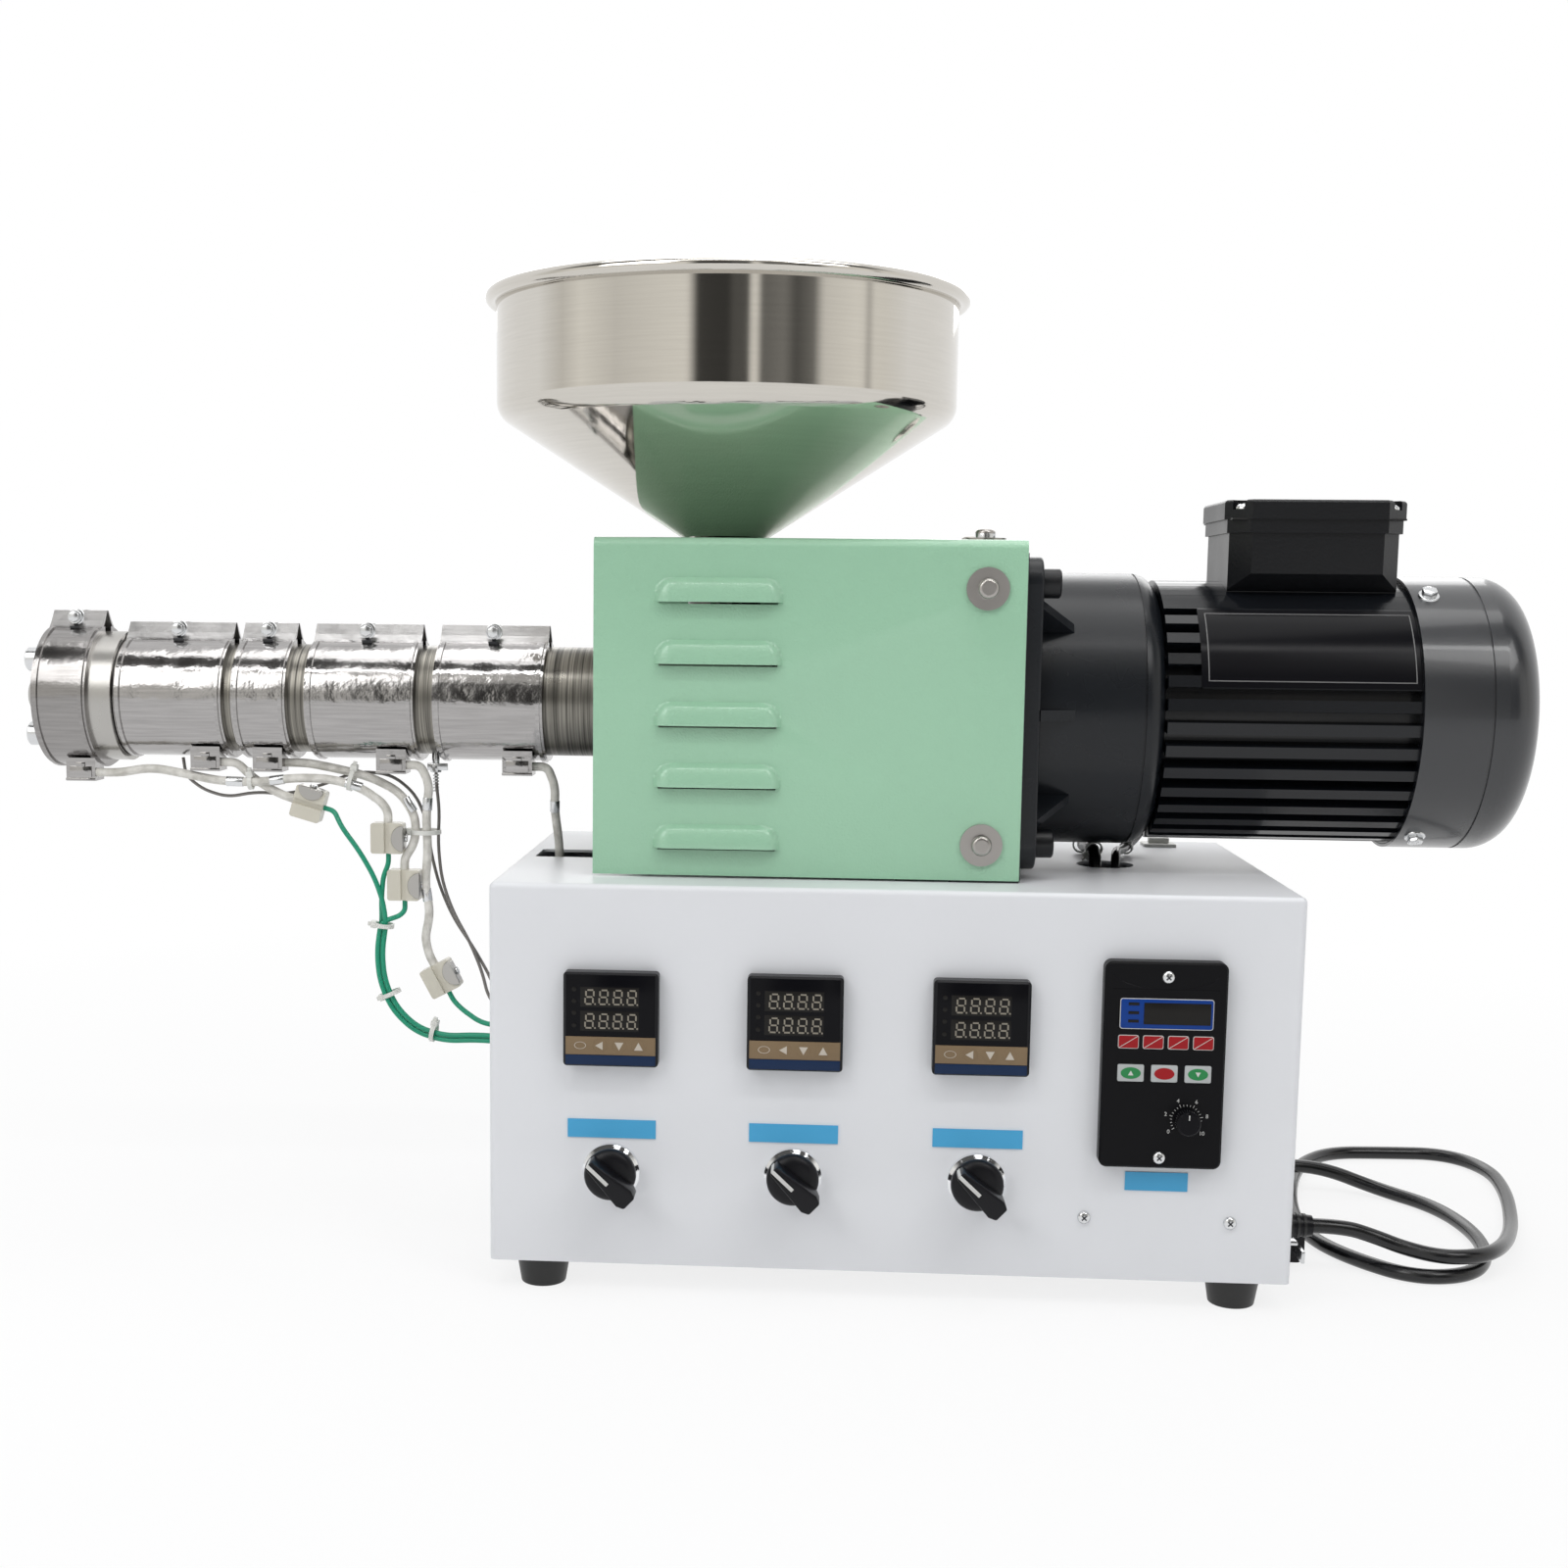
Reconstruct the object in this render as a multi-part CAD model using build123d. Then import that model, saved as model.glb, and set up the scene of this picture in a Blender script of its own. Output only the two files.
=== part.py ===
"""Small plastic extruder: control cabinet, louvred drive cover, geared motor, heated barrel and hopper.

Millimetres. X runs from the die towards the motor, Y away from the control panel, Z up.
The pieces are laid out from the front lower left corner of the cabinet at floor level and
are moved at the end so that the origin is the centre of the footprint, on the floor.
"""
from build123d import *

import os
from math import cos, pi, radians, sin, sqrt, tan

os.makedirs("parts", exist_ok=True)

# Cabinet
CABINET_WIDTH = 406.0
CABINET_DEPTH = 230.0
CABINET_HEIGHT = 196.5
SHEET = 1.5
BEND = 3.0
FOOT_HEIGHT = 15.0
FOOT_TOP_RADIUS = 14.0
FOOT_FLOOR_RADIUS = 11.5
FOOT_EDGE = 1.0
FOOT_INSET = 26.0
FOOT_INSET_FRONT = 15.0
PANEL_PLAY = 0.2
VENT_COUNT = 12
VENT_PITCH = 12.0
VENT_WIDTH = 4.0
VENT_HEIGHT = 60.0
VENT_RISE = 62.0

# Panel layout, from the cabinet's sides and top
CONTROLLER_COUNT = 3
CONTROLLER_FROM_LEFT = 63.0
CONTROLLER_DROP = 67.5
SELECTOR_BELOW = 80.0
STRIP_BELOW = 58.0
SPEED_FROM_RIGHT = 68.5
SPEED_FROM_CONTROLLER = 89.5
SPEED_DROP = 84.0
SPEED_STRIP_BELOW = 9.0

# Temperature controllers
CONTROLLER_FACE = 48.0
CONTROLLER_LIP = 1.7
CONTROLLER_PROUD = 8.0
CONTROLLER_LENGTH = 70.0
CONTROLLER_FRAME = 4.0
CONTROLLER_LENS = 1.0
CONTROLLER_CORNER = 2.0

# Selector switches
SELECTOR_NECK_RADIUS = 11.0
SELECTOR_HOLE_PLAY = 0.15
SELECTOR_NECK_LENGTH = 14.0
SELECTOR_BEZEL_LIP = 3.6
SELECTOR_BEZEL_PROUD = 5.0
SELECTOR_BEZEL_EDGE = 1.6
SELECTOR_BLOCK = 28.0
SELECTOR_BLOCK_LENGTH = 26.0
SELECTOR_DIAL_MARGIN = 3.0
SELECTOR_DIAL_PROUD = 5.0
SELECTOR_DIAL_EDGE = 1.5
SELECTOR_GRIP_OVERHANG = 0.4
SELECTOR_HEEL_OVERHANG = 3.9
SELECTOR_GRIP_WIDTH = 11.0
SELECTOR_GRIP_TIP = 4.0
SELECTOR_GRIP_PROUD = 13.0
SELECTOR_GRIP_EDGE = 1.0
SELECTOR_STEM_RADIUS = 4.0
SELECTOR_STEM_LENGTH = 10.0
SELECTOR_TURN = 45.0
STEM_PLAY = 0.05
DIAL_GAP = 0.3

# Speed controller
SPEED_PLATE_WIDTH = 60.0
SPEED_PLATE_HEIGHT = 104.0
SPEED_PROUD = 8.0
SPEED_BODY_WIDTH = 50.0
SPEED_BODY_HEIGHT = 72.0
SPEED_BODY_LENGTH = 45.0
SPEED_CORNER = 4.0
SPEED_EDGE = 1.0
SPEED_WINDOW_WIDTH = 46.0
SPEED_WINDOW_HEIGHT = 13.5
SPEED_WINDOW_RISE = 26.2
SPEED_WINDOW_DEPTH = 0.6
SPEED_KNOB_RADIUS = 6.0
SPEED_KNOB_PROUD = 9.0
SPEED_KNOB_EDGE = 0.8
SPEED_KNOB_SLOT = 1.0
SPEED_KNOB_ASIDE = 12.0
SPEED_KNOB_BELOW = 27.0
SPEED_STEM_RADIUS = 3.0
SPEED_STEM_LENGTH = 5.0

# Film strips under the controllers and the speed controller
STRIP_LENGTH = 45.0
STRIP_HEIGHT = 9.5
STRIP_THICKNESS = 0.6
SPEED_STRIP_LENGTH = 31.0

# Holes in the cabinet
SLOT_FROM_LEFT = 8.0
SLOT_LENGTH = 52.0
SLOT_BEFORE_AXIS = 11.0
SLOT_BEHIND_AXIS = 22.0
CABLE_HOLE_RADIUS = 15.5
CABLE_HOLE_FROM_RIGHT = 83.5
HARNESS_HOLE_RADIUS = 11.0
HARNESS_HOLE_DROP = 95.0
HARNESS_HOLE_BEFORE_AXIS = 27.0

# Drive cover and the flange that closes its end
COVER_FROM_LEFT = 49.0
COVER_LENGTH = 218.7
COVER_END_GAP = 0.8
COVER_SIDE_ROOM = 4.0
COVER_HEADROOM = 8.0
COVER_SHEET = 1.5
COVER_BEND = 5.0
COVER_GAP = 1.2
COVER_HOPPER_PLAY = 3.0
LOUVRE_COUNT = 5
LOUVRE_TOP_MARGIN = 21.0
LOUVRE_BOTTOM_MARGIN = 14.7
LOUVRE_FROM_END = 32.0
LOUVRE_LENGTH = 63.5
LOUVRE_HEIGHT = 11.0
LOUVRE_PROUD = 5.0
LOUVRE_ROUND = 4.5
COVER_SCREW_FROM_END = 19.7
COVER_SCREW_FROM_TOP = 24.5
COVER_SCREW_FROM_BASE = 18.3
COVER_SCREW_FROM_SIDE = 29.0
WASHER_RADIUS = 10.8
WASHER = 1.5
COVER_SCREW_HEAD_RADIUS = 5.2
COVER_SCREW_HEAD = 4.5
COVER_SCREW_ROUND = 2.0
COVER_SCREW_SHANK_RADIUS = 3.0
COVER_SCREW_LENGTH = 9.0
SCREW_PLAY = 0.15

# Gear reducer
FLANGE_SIDE = 160.0
FLANGE_CLEARANCE = 5.5
FLANGE = 8.0
FLANGE_CORNER = 14.0
FLANGE_EDGE = 1.5
FLANGE_BOLT_INSET = 13.5
FLANGE_BOLT_RADIUS = 7.5
FLANGE_BOLT_HEAD = 9.5
FLANGE_BOLT_EDGE = 0.8
FLANGE_BOLT_SOCKET = 4.6
FLANGE_BOLT_SOCKET_DEPTH = 4.0
DRUM_INSET = 7.0
DRUM_LENGTH = 65.5
DRUM_ROUND = 12.5
DRUM_SEAM_FROM_END = 11.0
DRUM_SEAM = 1.2
DRUM_SEAM_DEPTH = 0.8
RIB = 5.5
RIB_LENGTH = 18.0
RIB_ANGLES = (-37.0, 0.0, 37.0)
RIB_RISES = (20.0, 7.0, 20.0)
SHAFT_RADIUS = 14.0
SHAFT_LENGTH = 32.5
SHAFT_HOLE_PLAY = 8.0

# Motor
MOTOR_LENGTH = 127.0
MOTOR_STEP = 3.5
MOTOR_FIN_DEPTH = 9.5
MOTOR_FIN_ROOT = 2.0
MOTOR_FIN_COUNT = 36
MOTOR_FIN = 6.0
MOTOR_TOP_PAD = (52.0, 128.0)
MOTOR_PLATE_PAD = (128.0, 168.0)
MOTOR_PLATE_PAD_LENGTH = 110.0
MOTOR_SPIGOT = 8.0
COVER_SEAT_PLAY = 0.3
FAN_COVER_LENGTH = 62.0
FAN_COVER_STEP = 0.5
FAN_COVER_SHEET = 1.5
FAN_COVER_BEAD_FROM_END = 27.0
FAN_COVER_BEAD = 1.5
FAN_COVER_ROUND = 20.0
FAN_GAP = 12.0
FAN_LENGTH = 30.0
FAN_RADIUS = 55.0
FAN_HUB_RADIUS = 18.0
FAN_BLADES = 8
FAN_BLADE = 2.0
FAN_SHAFT_RADIUS = 9.0
GRILLE_BARS = 8
GRILLE_BAR = 4.0
GRILLE_FIRST = 14.0
GRILLE_SLOT = 7.0
GRILLE_LAND = 4.0
GRILLE_RINGS = 3

# Motor terminal box
BOX_FROM_MOTOR_END = 5.5
BOX_LENGTH = 87.0
BOX_HALF_WIDTH = 39.0
BOX_NECK_HALF_WIDTH = 28.0
BOX_SEAT = 17.5
BOX_NECK = 12.0
BOX_SLOPE = 9.0
BOX_WALL_HEIGHT = 21.0
BOX_LEDGE = 7.0
BOX_LEDGE_PROUD = 1.5
BOX_CORNER = 10.0
LID_THICKNESS = 10.0
LID_PROUD = 3.0
LID_EDGE = 2.0
LID_RECESS_RADIUS = 5.5
LID_RECESS_DEPTH = 5.0
LID_RECESS_INSET = 9.0
BOX_GLAND_LENGTH = 12.0
BOX_GLAND_GAP = 2.5
BOX_GLAND_PLACES = (32.0, 55.0)
BOX_GLAND_DROP = 14.0

# Barrel, screw and die
BARREL_RADIUS = 30.0
BARREL_BORE_RADIUS = 12.75
BARREL_LENGTH = 383.0
BARREL_TAIL_PROUD = 10.0
SCREW_PLAY_IN_BORE = 0.25
SCREW_ROOT_RADIUS = 8.5
SCREW_PITCH = 25.0
SCREW_FLIGHT_WIDTH = 3.0
SCREW_TIP_GAP = 2.0
SCREW_SHANK_FROM_INLET = 8.0
COUPLING_GAP = 11.0
COUPLING_RADIUS = 24.0
INLET_RADIUS = 14.0
DIE_LENGTH = 43.0
DIE_RADIUS = 36.0
DIE_EDGE = 1.0
DIE_CONE_LENGTH = 25.0
NOZZLE_RADIUS = 10.0
NOZZLE_EDGE = 2.0
NOZZLE_PROUD = 14.0
NOZZLE_BORE_RADIUS = 1.5
DIE_BOLT_COUNT = 4
DIE_BOLT_MARGIN = 0.5
DIE_BOLT_RADIUS = 6.5
DIE_BOLT_PROUD = 8.0
DIE_BOLT_EDGE = 0.8
DIE_BOLT_SOCKET = 3.4
DIE_BOLT_SOCKET_DEPTH = 4.0

# Band heaters: distance from the barrel's head to each one, and its length
HEATER_OFFSETS = (-43.0, 0.5, 66.0, 106.5, 177.0)
HEATER_LENGTHS = (30.0, 60.0, 30.0, 60.0, 60.0)
HEATER_THICKNESS = 3.0
HEATER_BEAD = 1.0
HEATER_BEAD_WIDTH = 2.0
HEATER_BEAD_INSET = 1.5
EAR_RISE = 8.5
EAR_SHEET = 1.0
EAR_SPREAD = 9.0
EAR_GAP = 0.8
EAR_KNEE = 3.0
TERMINAL_WIDTH = 16.5
TERMINAL_DEPTH = 13.0
TERMINAL_DROP = 10.5
TERMINAL_ASIDE = 15.0
TERMINAL_SHIFTS = (12.0, 39.0, 8.5, 37.0, 36.5)
CLAMP_BOLT_RADIUS = 3.8
CLAMP_BOLT_HEAD = 3.5
CLAMP_BOLT_RISE = 5.0
CLAMP_SEAT = 7.2
CLAMP_SHANK_RADIUS = 2.0

# Hopper
HOPPER_FROM_COVER_END = 62.0
HOPPER_RADIUS = 123.8
HOPPER_WALL = 1.2
HOPPER_CONE_HEIGHT = 66.0
HOPPER_SIDE_HEIGHT = 61.0
HOPPER_RIM_BEAD = 3.6
HOPPER_CORNER_RADIUS = 12.0
HOPPER_NECK_RADIUS = 20.0
HOPPER_FLANGE_RADIUS = 32.0
HOPPER_FLANGE = 4.0

# Feed block and its stand
FEED_BLOCK_LENGTH = 80.0
FEED_BLOCK_WIDTH = 90.0
FEED_BLOCK_ABOVE = 45.0
FEED_BLOCK_BELOW = 45.0
FEED_BLOCK_EDGE = 3.0
STAND_PLATE = 12.0
STAND_FOOT = 10.0
STAND_FOOT_WIDTH = 130.0

# Drive bracket inside the cover
BRACKET_PLATE = 12.0
BRACKET_FOOT_LENGTH = 63.5
BRACKET_FOOT = 8.0
BRACKET_CHEEK = 6.0
BRACKET_CHEEK_LENGTH = 36.5

# Leads and their connectors
LEAD_RADIUS = 2.4
SUPPLY_RADIUS = 1.4
PROBE_RADIUS = 0.9
CABLE_RADII = (3.5, 2.5)
CONNECTOR_WIDTH = 18.0
CONNECTOR_HEIGHT = 17.0
CONNECTOR_DEPTH = 9.0
CONNECTOR_EDGE = 1.5
CONNECTOR_GROOVE = 1.5
LEAD_TO_CONNECTOR = 6.0
LEAD_BELOW_SEAT = 5.8
SUPPLY_PITCH = 3.0

# Power cord
CORD_RADIUS = 4.0
CORD_LIFT = 0.1
GLAND_FROM_FRONT = 64.0
GLAND_RISE = 11.0
GLAND_NUT_RADIUS = 9.0
GLAND_NUT = 4.0
GLAND_RADII = (7.5, 5.5)
GLAND_LENGTH = 21.0
GLAND_NECK_RADIUS = 7.0
GLAND_NECK_PLAY = 0.15
GLAND_NECK = 8.0
PLUG_WIDTH = 23.0
PLUG_LENGTH = 26.0
PLUG_CORNER = 4.0
PLUG_TAIL_LENGTH = 16.0
PLUG_TAIL_RADII = (5.5, 8.5)
PLUG_PIN = (6.4, 1.6)
PLUG_PIN_LENGTH = 18.0
PLUG_PIN_APART = 6.4
PLUG_EARTH_RISE = 5.0

# Derived places
CABINET_TOP = FOOT_HEIGHT + CABINET_HEIGHT
AXIS_Y = CABINET_DEPTH / 2
AXIS_Z = CABINET_TOP + FLANGE_CLEARANCE + FLANGE_SIDE / 2
CONTROLLER_HEIGHT = CABINET_TOP - CONTROLLER_DROP
CONTROLLER_BODY = CONTROLLER_FACE - 2 * CONTROLLER_LIP
CONTROLLER_PITCH = (CABINET_WIDTH - CONTROLLER_FROM_LEFT - SPEED_FROM_CONTROLLER - SPEED_FROM_RIGHT) / (
    CONTROLLER_COUNT - 1
)
CONTROLLER_XS = [CONTROLLER_FROM_LEFT + i * CONTROLLER_PITCH for i in range(CONTROLLER_COUNT)]
SELECTOR_HEIGHT = CONTROLLER_HEIGHT - SELECTOR_BELOW
SELECTOR_BEZEL_RADIUS = SELECTOR_NECK_RADIUS + SELECTOR_BEZEL_LIP
SELECTOR_DIAL_RADIUS = SELECTOR_BEZEL_RADIUS - SELECTOR_DIAL_MARGIN
SELECTOR_FACE_Y = -SELECTOR_BEZEL_PROUD
SPEED_X = CABINET_WIDTH - SPEED_FROM_RIGHT
SPEED_HEIGHT = CABINET_TOP - SPEED_DROP
SPEED_FACE_Y = -SPEED_PROUD
SPEED_KNOB_AT = (SPEED_X + SPEED_KNOB_ASIDE, SPEED_HEIGHT - SPEED_KNOB_BELOW)
STRIP_Z = CONTROLLER_HEIGHT - STRIP_BELOW
SPEED_STRIP_Z = SPEED_HEIGHT - SPEED_PLATE_HEIGHT / 2 - SPEED_STRIP_BELOW
CABLE_HOLE_X = CABINET_WIDTH - CABLE_HOLE_FROM_RIGHT
HARNESS_HOLE_Z = CABINET_TOP - HARNESS_HOLE_DROP
COVER_X = (COVER_FROM_LEFT, COVER_FROM_LEFT + COVER_LENGTH)
COVER_WIDTH = FLANGE_SIDE + 2 * COVER_SIDE_ROOM
COVER_Y = (AXIS_Y - COVER_WIDTH / 2, AXIS_Y + COVER_WIDTH / 2)
COVER_BASE_Z = CABINET_TOP + COVER_GAP
COVER_TOP_Z = AXIS_Z + FLANGE_SIDE / 2 + COVER_HEADROOM
COVER_SCREW_X = COVER_X[1] - COVER_SCREW_FROM_END
LOUVRE_X = (COVER_X[0] + LOUVRE_FROM_END, COVER_X[0] + LOUVRE_FROM_END + LOUVRE_LENGTH)
LOUVRE_TOP_Z = COVER_TOP_Z - LOUVRE_TOP_MARGIN
LOUVRE_PITCH = (LOUVRE_TOP_Z - LOUVRE_HEIGHT - COVER_BASE_Z - LOUVRE_BOTTOM_MARGIN) / (LOUVRE_COUNT - 1)
FLANGE_X = COVER_X[1] + COVER_END_GAP
DRUM_X = (FLANGE_X + FLANGE, FLANGE_X + FLANGE + DRUM_LENGTH)
DRUM_RADIUS = FLANGE_SIDE / 2 - DRUM_INSET
MOTOR_X = (DRUM_X[1], DRUM_X[1] + MOTOR_LENGTH)
MOTOR_FIN_RADIUS = DRUM_RADIUS - MOTOR_STEP
MOTOR_CORE_RADIUS = MOTOR_FIN_RADIUS - MOTOR_FIN_DEPTH
FAN_COVER_RADIUS = DRUM_RADIUS - FAN_COVER_STEP
FAN_COVER_END_X = MOTOR_X[1] + FAN_COVER_LENGTH
BOX_X = (MOTOR_X[1] - BOX_FROM_MOTOR_END - BOX_LENGTH, MOTOR_X[1] - BOX_FROM_MOTOR_END)
BOX_SEAT_Z = AXIS_Z + MOTOR_FIN_RADIUS - BOX_SEAT
BOX_WALL_Z = BOX_SEAT_Z + BOX_NECK + BOX_SLOPE
BOX_LEDGE_Z = BOX_WALL_Z + BOX_WALL_HEIGHT
BOX_TOP_Z = BOX_LEDGE_Z + BOX_LEDGE
BOX_GLAND_Z = BOX_LEDGE_Z - BOX_GLAND_DROP
BOX_REAR_Y = AXIS_Y + BOX_HALF_WIDTH
HOPPER_X = COVER_X[0] + HOPPER_FROM_COVER_END
HOPPER_CORNER_Z = COVER_TOP_Z + HOPPER_CONE_HEIGHT
HOPPER_RIM_Z = HOPPER_CORNER_Z + HOPPER_SIDE_HEIGHT
FEED_BLOCK_X = (HOPPER_X - FEED_BLOCK_LENGTH / 2, HOPPER_X + FEED_BLOCK_LENGTH / 2)
FEED_TOP_Z = AXIS_Z + FEED_BLOCK_ABOVE
BARREL_TAIL_X = FEED_BLOCK_X[1] + BARREL_TAIL_PROUD
BARREL_HEAD_X = BARREL_TAIL_X - BARREL_LENGTH
SCREW_RADIUS = BARREL_BORE_RADIUS - SCREW_PLAY_IN_BORE
COUPLING_X = (BARREL_TAIL_X + COUPLING_GAP, FLANGE_X - SHAFT_LENGTH)
DIE_FACE_X = BARREL_HEAD_X - DIE_LENGTH
NOZZLE_TIP_X = DIE_FACE_X - NOZZLE_PROUD
DIE_BOLT_CIRCLE = DIE_RADIUS - DIE_BOLT_RADIUS - DIE_BOLT_MARGIN
HEATER_XS = [
    (BARREL_HEAD_X + offset, BARREL_HEAD_X + offset + length)
    for offset, length in zip(HEATER_OFFSETS, HEATER_LENGTHS)
]
TERMINAL_Y = AXIS_Y - TERMINAL_ASIDE
GLAND_Z = FOOT_HEIGHT + GLAND_RISE

# Footprint without the power cord, whose centre is the origin
LOW_X = NOZZLE_TIP_X
HIGH_X = FAN_COVER_END_X
LOW_Y = SELECTOR_FACE_Y - DIAL_GAP - SELECTOR_DIAL_PROUD - SELECTOR_GRIP_PROUD
HIGH_Y = AXIS_Y + HOPPER_RADIUS + 2 * HOPPER_RIM_BEAD - HOPPER_WALL

# Connectors: centre x, y behind the axis and z of each one, and how far its lead side leans from upright
CONNECTORS = {
    "a": (-117.2, -17.0, 239.6, -74.0),
    "b": (-72.6, -19.0, 221.4, 0.0),
    "c": (-63.6, -19.0, 195.4, 0.0),
    "d": (-42.9, -21.0, 143.6, -28.0),
}

# Routes of the leads, with y behind the axis, and the connector that each one ends in
LEAD_Y = (-19.0, -16.5, -13.5, -18.0, -15.0)
LEAD_ROUTES = [
    [(-206.0, -19.0, 258.4), (-188.0, -19.0, 255.5), (-168.0, -19.0, 251.5), (-146.0, -19.0, 250.9),
     (-124.0, -19.0, 254.0), (-104.0, -19.0, 253.6), (-87.0, -19.0, 248.6), (-76.0, -19.0, 241.0)],
    [(-148.0, -16.5, 252.5), (-138.5, -17.0, 247.0)],
    [(-101.0, -13.5, 258.6), (-83.0, -13.5, 254.4), (-66.5, -13.5, 246.0), (-58.0, -14.0, 232.0),
     (-58.2, -16.5, 219.0)],
    [(-49.6, -18.0, 251.5), (-51.6, -18.0, 234.0), (-50.4, -19.0, 214.0), (-52.0, -20.0, 196.0),
     (-49.0, -21.0, 180.0), (-52.0, -21.0, 166.0)],
    [(19.6, -13.5, 251.0), (18.6, -8.0, 237.0), (20.0, -1.0, 220.0), (20.6, 1.5, 196.0)],
]
LEAD_STRAIGHTS = (13.5, 8.0, 12.0, 7.5, 7.5)
LEAD_ENDS = ("b", "a", "c", "d", None)

# Green supply wires from the connectors into the harness hole
SUPPLY_TRUNK = [
    (-73.6, 174.0), (-76.0, 158.0), (-74.6, 142.0), (-68.0, 127.0), (-56.0, 116.0), (-40.0, 112.0),
    (-22.0, 113.6), (-4.0, 113.0), (6.0, 113.0),
]
SUPPLY_TRUNK_Y = (-22.0, -22.0, -22.5, -23.0, -24.0, -26.0, -28.5, -30.0, -30.0)
SUPPLY_BRANCHES = {
    "a": [(-98.0, -21.5, 227.0), (-88.0, -22.5, 214.0), (-80.0, -22.5, 200.0), (-75.5, -22.0, 187.0)],
    "b": [(-75.4, -20.0, 200.0), (-76.4, -21.0, 187.0)],
    "c": [(-66.4, -20.0, 178.0)],
    "d": [(-31.0, -23.0, 126.5), (-19.5, -26.0, 119.4), (-6.0, -27.5, 118.8), (6.0, -28.0, 118.6)],
}
SUPPLY_PLACES = {"a": (0.0, 0.0), "b": (1.0, 1.0), "c": (1.0, 0.0)}

# Thermocouple leads
PROBE_ROUTES = [
    [(-48.5, -5.0, 263.0), (-47.6, -9.0, 252.0), (-45.6, -10.4, 236.0), (-46.4, -11.0, 218.0),
     (-44.4, -11.8, 198.0), (-38.0, -13.0, 180.0), (-28.0, -14.5, 163.0), (-21.0, -16.5, 147.0),
     (-17.0, -19.5, 133.0), (-8.0, -22.5, 124.4), (6.0, -23.5, 122.6)],
    [(-192.0, -5.0, 263.0), (-190.0, -7.0, 253.0), (-180.0, -8.5, 245.6), (-166.0, -8.5, 241.4),
     (-150.0, -8.5, 244.6), (-132.0, -8.5, 243.6), (-112.0, -8.5, 249.0), (-92.0, -8.5, 257.2),
     (-73.0, -7.5, 255.6), (-60.0, -6.5, 245.0), (-53.6, -6.5, 230.0), (-51.2, -7.0, 212.0),
     (-46.5, -8.0, 194.0), (-38.5, -9.5, 176.0), (-26.0, -12.5, 159.0), (-16.0, -16.0, 143.0),
     (-11.0, -19.0, 130.0), (-3.0, -21.0, 120.6), (6.0, -21.4, 118.4)],
]

# Motor cables, from the cabinet's hole round the back of the motor to its terminal box
CABLE_ROUTES = [
    [(318.0, 2.5, 196.0), (318.0, 3.5, 208.0), (317.6, 9.0, 217.6), (316.6, 21.0, 219.6),
     (315.0, 43.0, 216.6), (321.0, 67.0, 221.0), (341.0, 82.0, 245.0), (366.0, 86.0, 284.0),
     (390.0, 85.0, 326.0), (404.0, 81.0, 358.0), (408.5, 67.0, 377.0)],
    [(327.5, -4.5, 196.0), (327.6, -3.5, 207.0), (328.4, 2.0, 215.6), (330.4, 13.0, 217.6),
     (337.0, 35.0, 215.4), (348.0, 58.0, 220.0), (368.0, 76.0, 244.0), (394.0, 82.0, 282.0),
     (417.0, 81.0, 322.0), (430.0, 77.0, 356.0), (431.5, 64.0, 377.0)],
]

# Route of the power cord from its gland over the floor to its plug
CORD_Z = CORD_RADIUS + CORD_LIFT
GLAND_FACE_X = CABINET_WIDTH + GLAND_NUT + GLAND_LENGTH
PLUG_AT = (420.5, 106.0)
CORD_ROUTE = [
    (GLAND_FACE_X, GLAND_FROM_FRONT, GLAND_Z),
    (448.0, GLAND_FROM_FRONT, GLAND_Z),
    (464.0, 65.0, 21.0),
    (479.5, 61.0, 16.0),
    (496.0, 53.0, 14.5),
    (514.5, 55.0, 14.5),
    (530.0, 69.0, 13.5),
    (549.0, 107.0, 8.5),
    (567.0, 156.0, CORD_Z),
    (582.0, 211.0, CORD_Z),
    (588.0, 260.0, CORD_Z),
    (571.0, 294.0, CORD_Z),
    (531.0, 293.0, CORD_Z),
    (497.0, 290.0, CORD_Z),
    (473.0, 264.0, CORD_Z),
    (460.0, 231.0, CORD_Z),
    (449.0, 190.0, CORD_Z),
    (442.0, 148.0, CORD_Z),
    (442.5, 110.0, CORD_Z),
    (457.0, 77.0, CORD_Z),
    (482.0, 49.0, CORD_Z),
    (514.0, 56.0, CORD_Z),
    (532.0, 88.0, CORD_Z),
    (538.0, 132.0, CORD_Z),
    (530.0, 178.0, CORD_Z),
    (506.0, 210.0, CORD_Z),
    (474.0, 222.0, 13.8),
    (444.0, 222.0, 13.8),
    (424.0, 203.0, 6.0),
    (417.0, 177.0, 6.0),
    (PLUG_AT[0], 148.0, PLUG_WIDTH / 2),
    (PLUG_AT[0], PLUG_AT[1] + PLUG_TAIL_LENGTH, PLUG_WIDTH / 2),
]

ORIGIN = Pos(-(LOW_X + HIGH_X) / 2, -(LOW_Y + HIGH_Y) / 2, 0)
PARTS = {}


def keep(name, *shapes):
    """Store one named piece, or several like pieces, at its place in the machine."""
    placed = [ORIGIN * shape for shape in shapes]
    PARTS[name] = placed[0] if len(placed) == 1 else Compound(children=placed)


def around(middle, half):
    """Low and high value on both sides of a middle."""
    return middle - half, middle + half


def block(x, y, z):
    """Rectangular solid between the low and high value on each axis."""
    size = [high - low for low, high in (x, y, z)]
    middle = [(high + low) / 2 for low, high in (x, y, z)]
    return Pos(*middle) * Box(*size)


def rod_x(radius, x, y=AXIS_Y, z=AXIS_Z):
    """Round bar along X."""
    return Pos((x[0] + x[1]) / 2, y, z) * Rot(0, 90, 0) * Cylinder(radius, abs(x[1] - x[0]))


def rod_y(radius, y, x, z):
    """Round bar along Y."""
    return Pos(x, (y[0] + y[1]) / 2, z) * Rot(90, 0, 0) * Cylinder(radius, abs(y[1] - y[0]))


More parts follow.
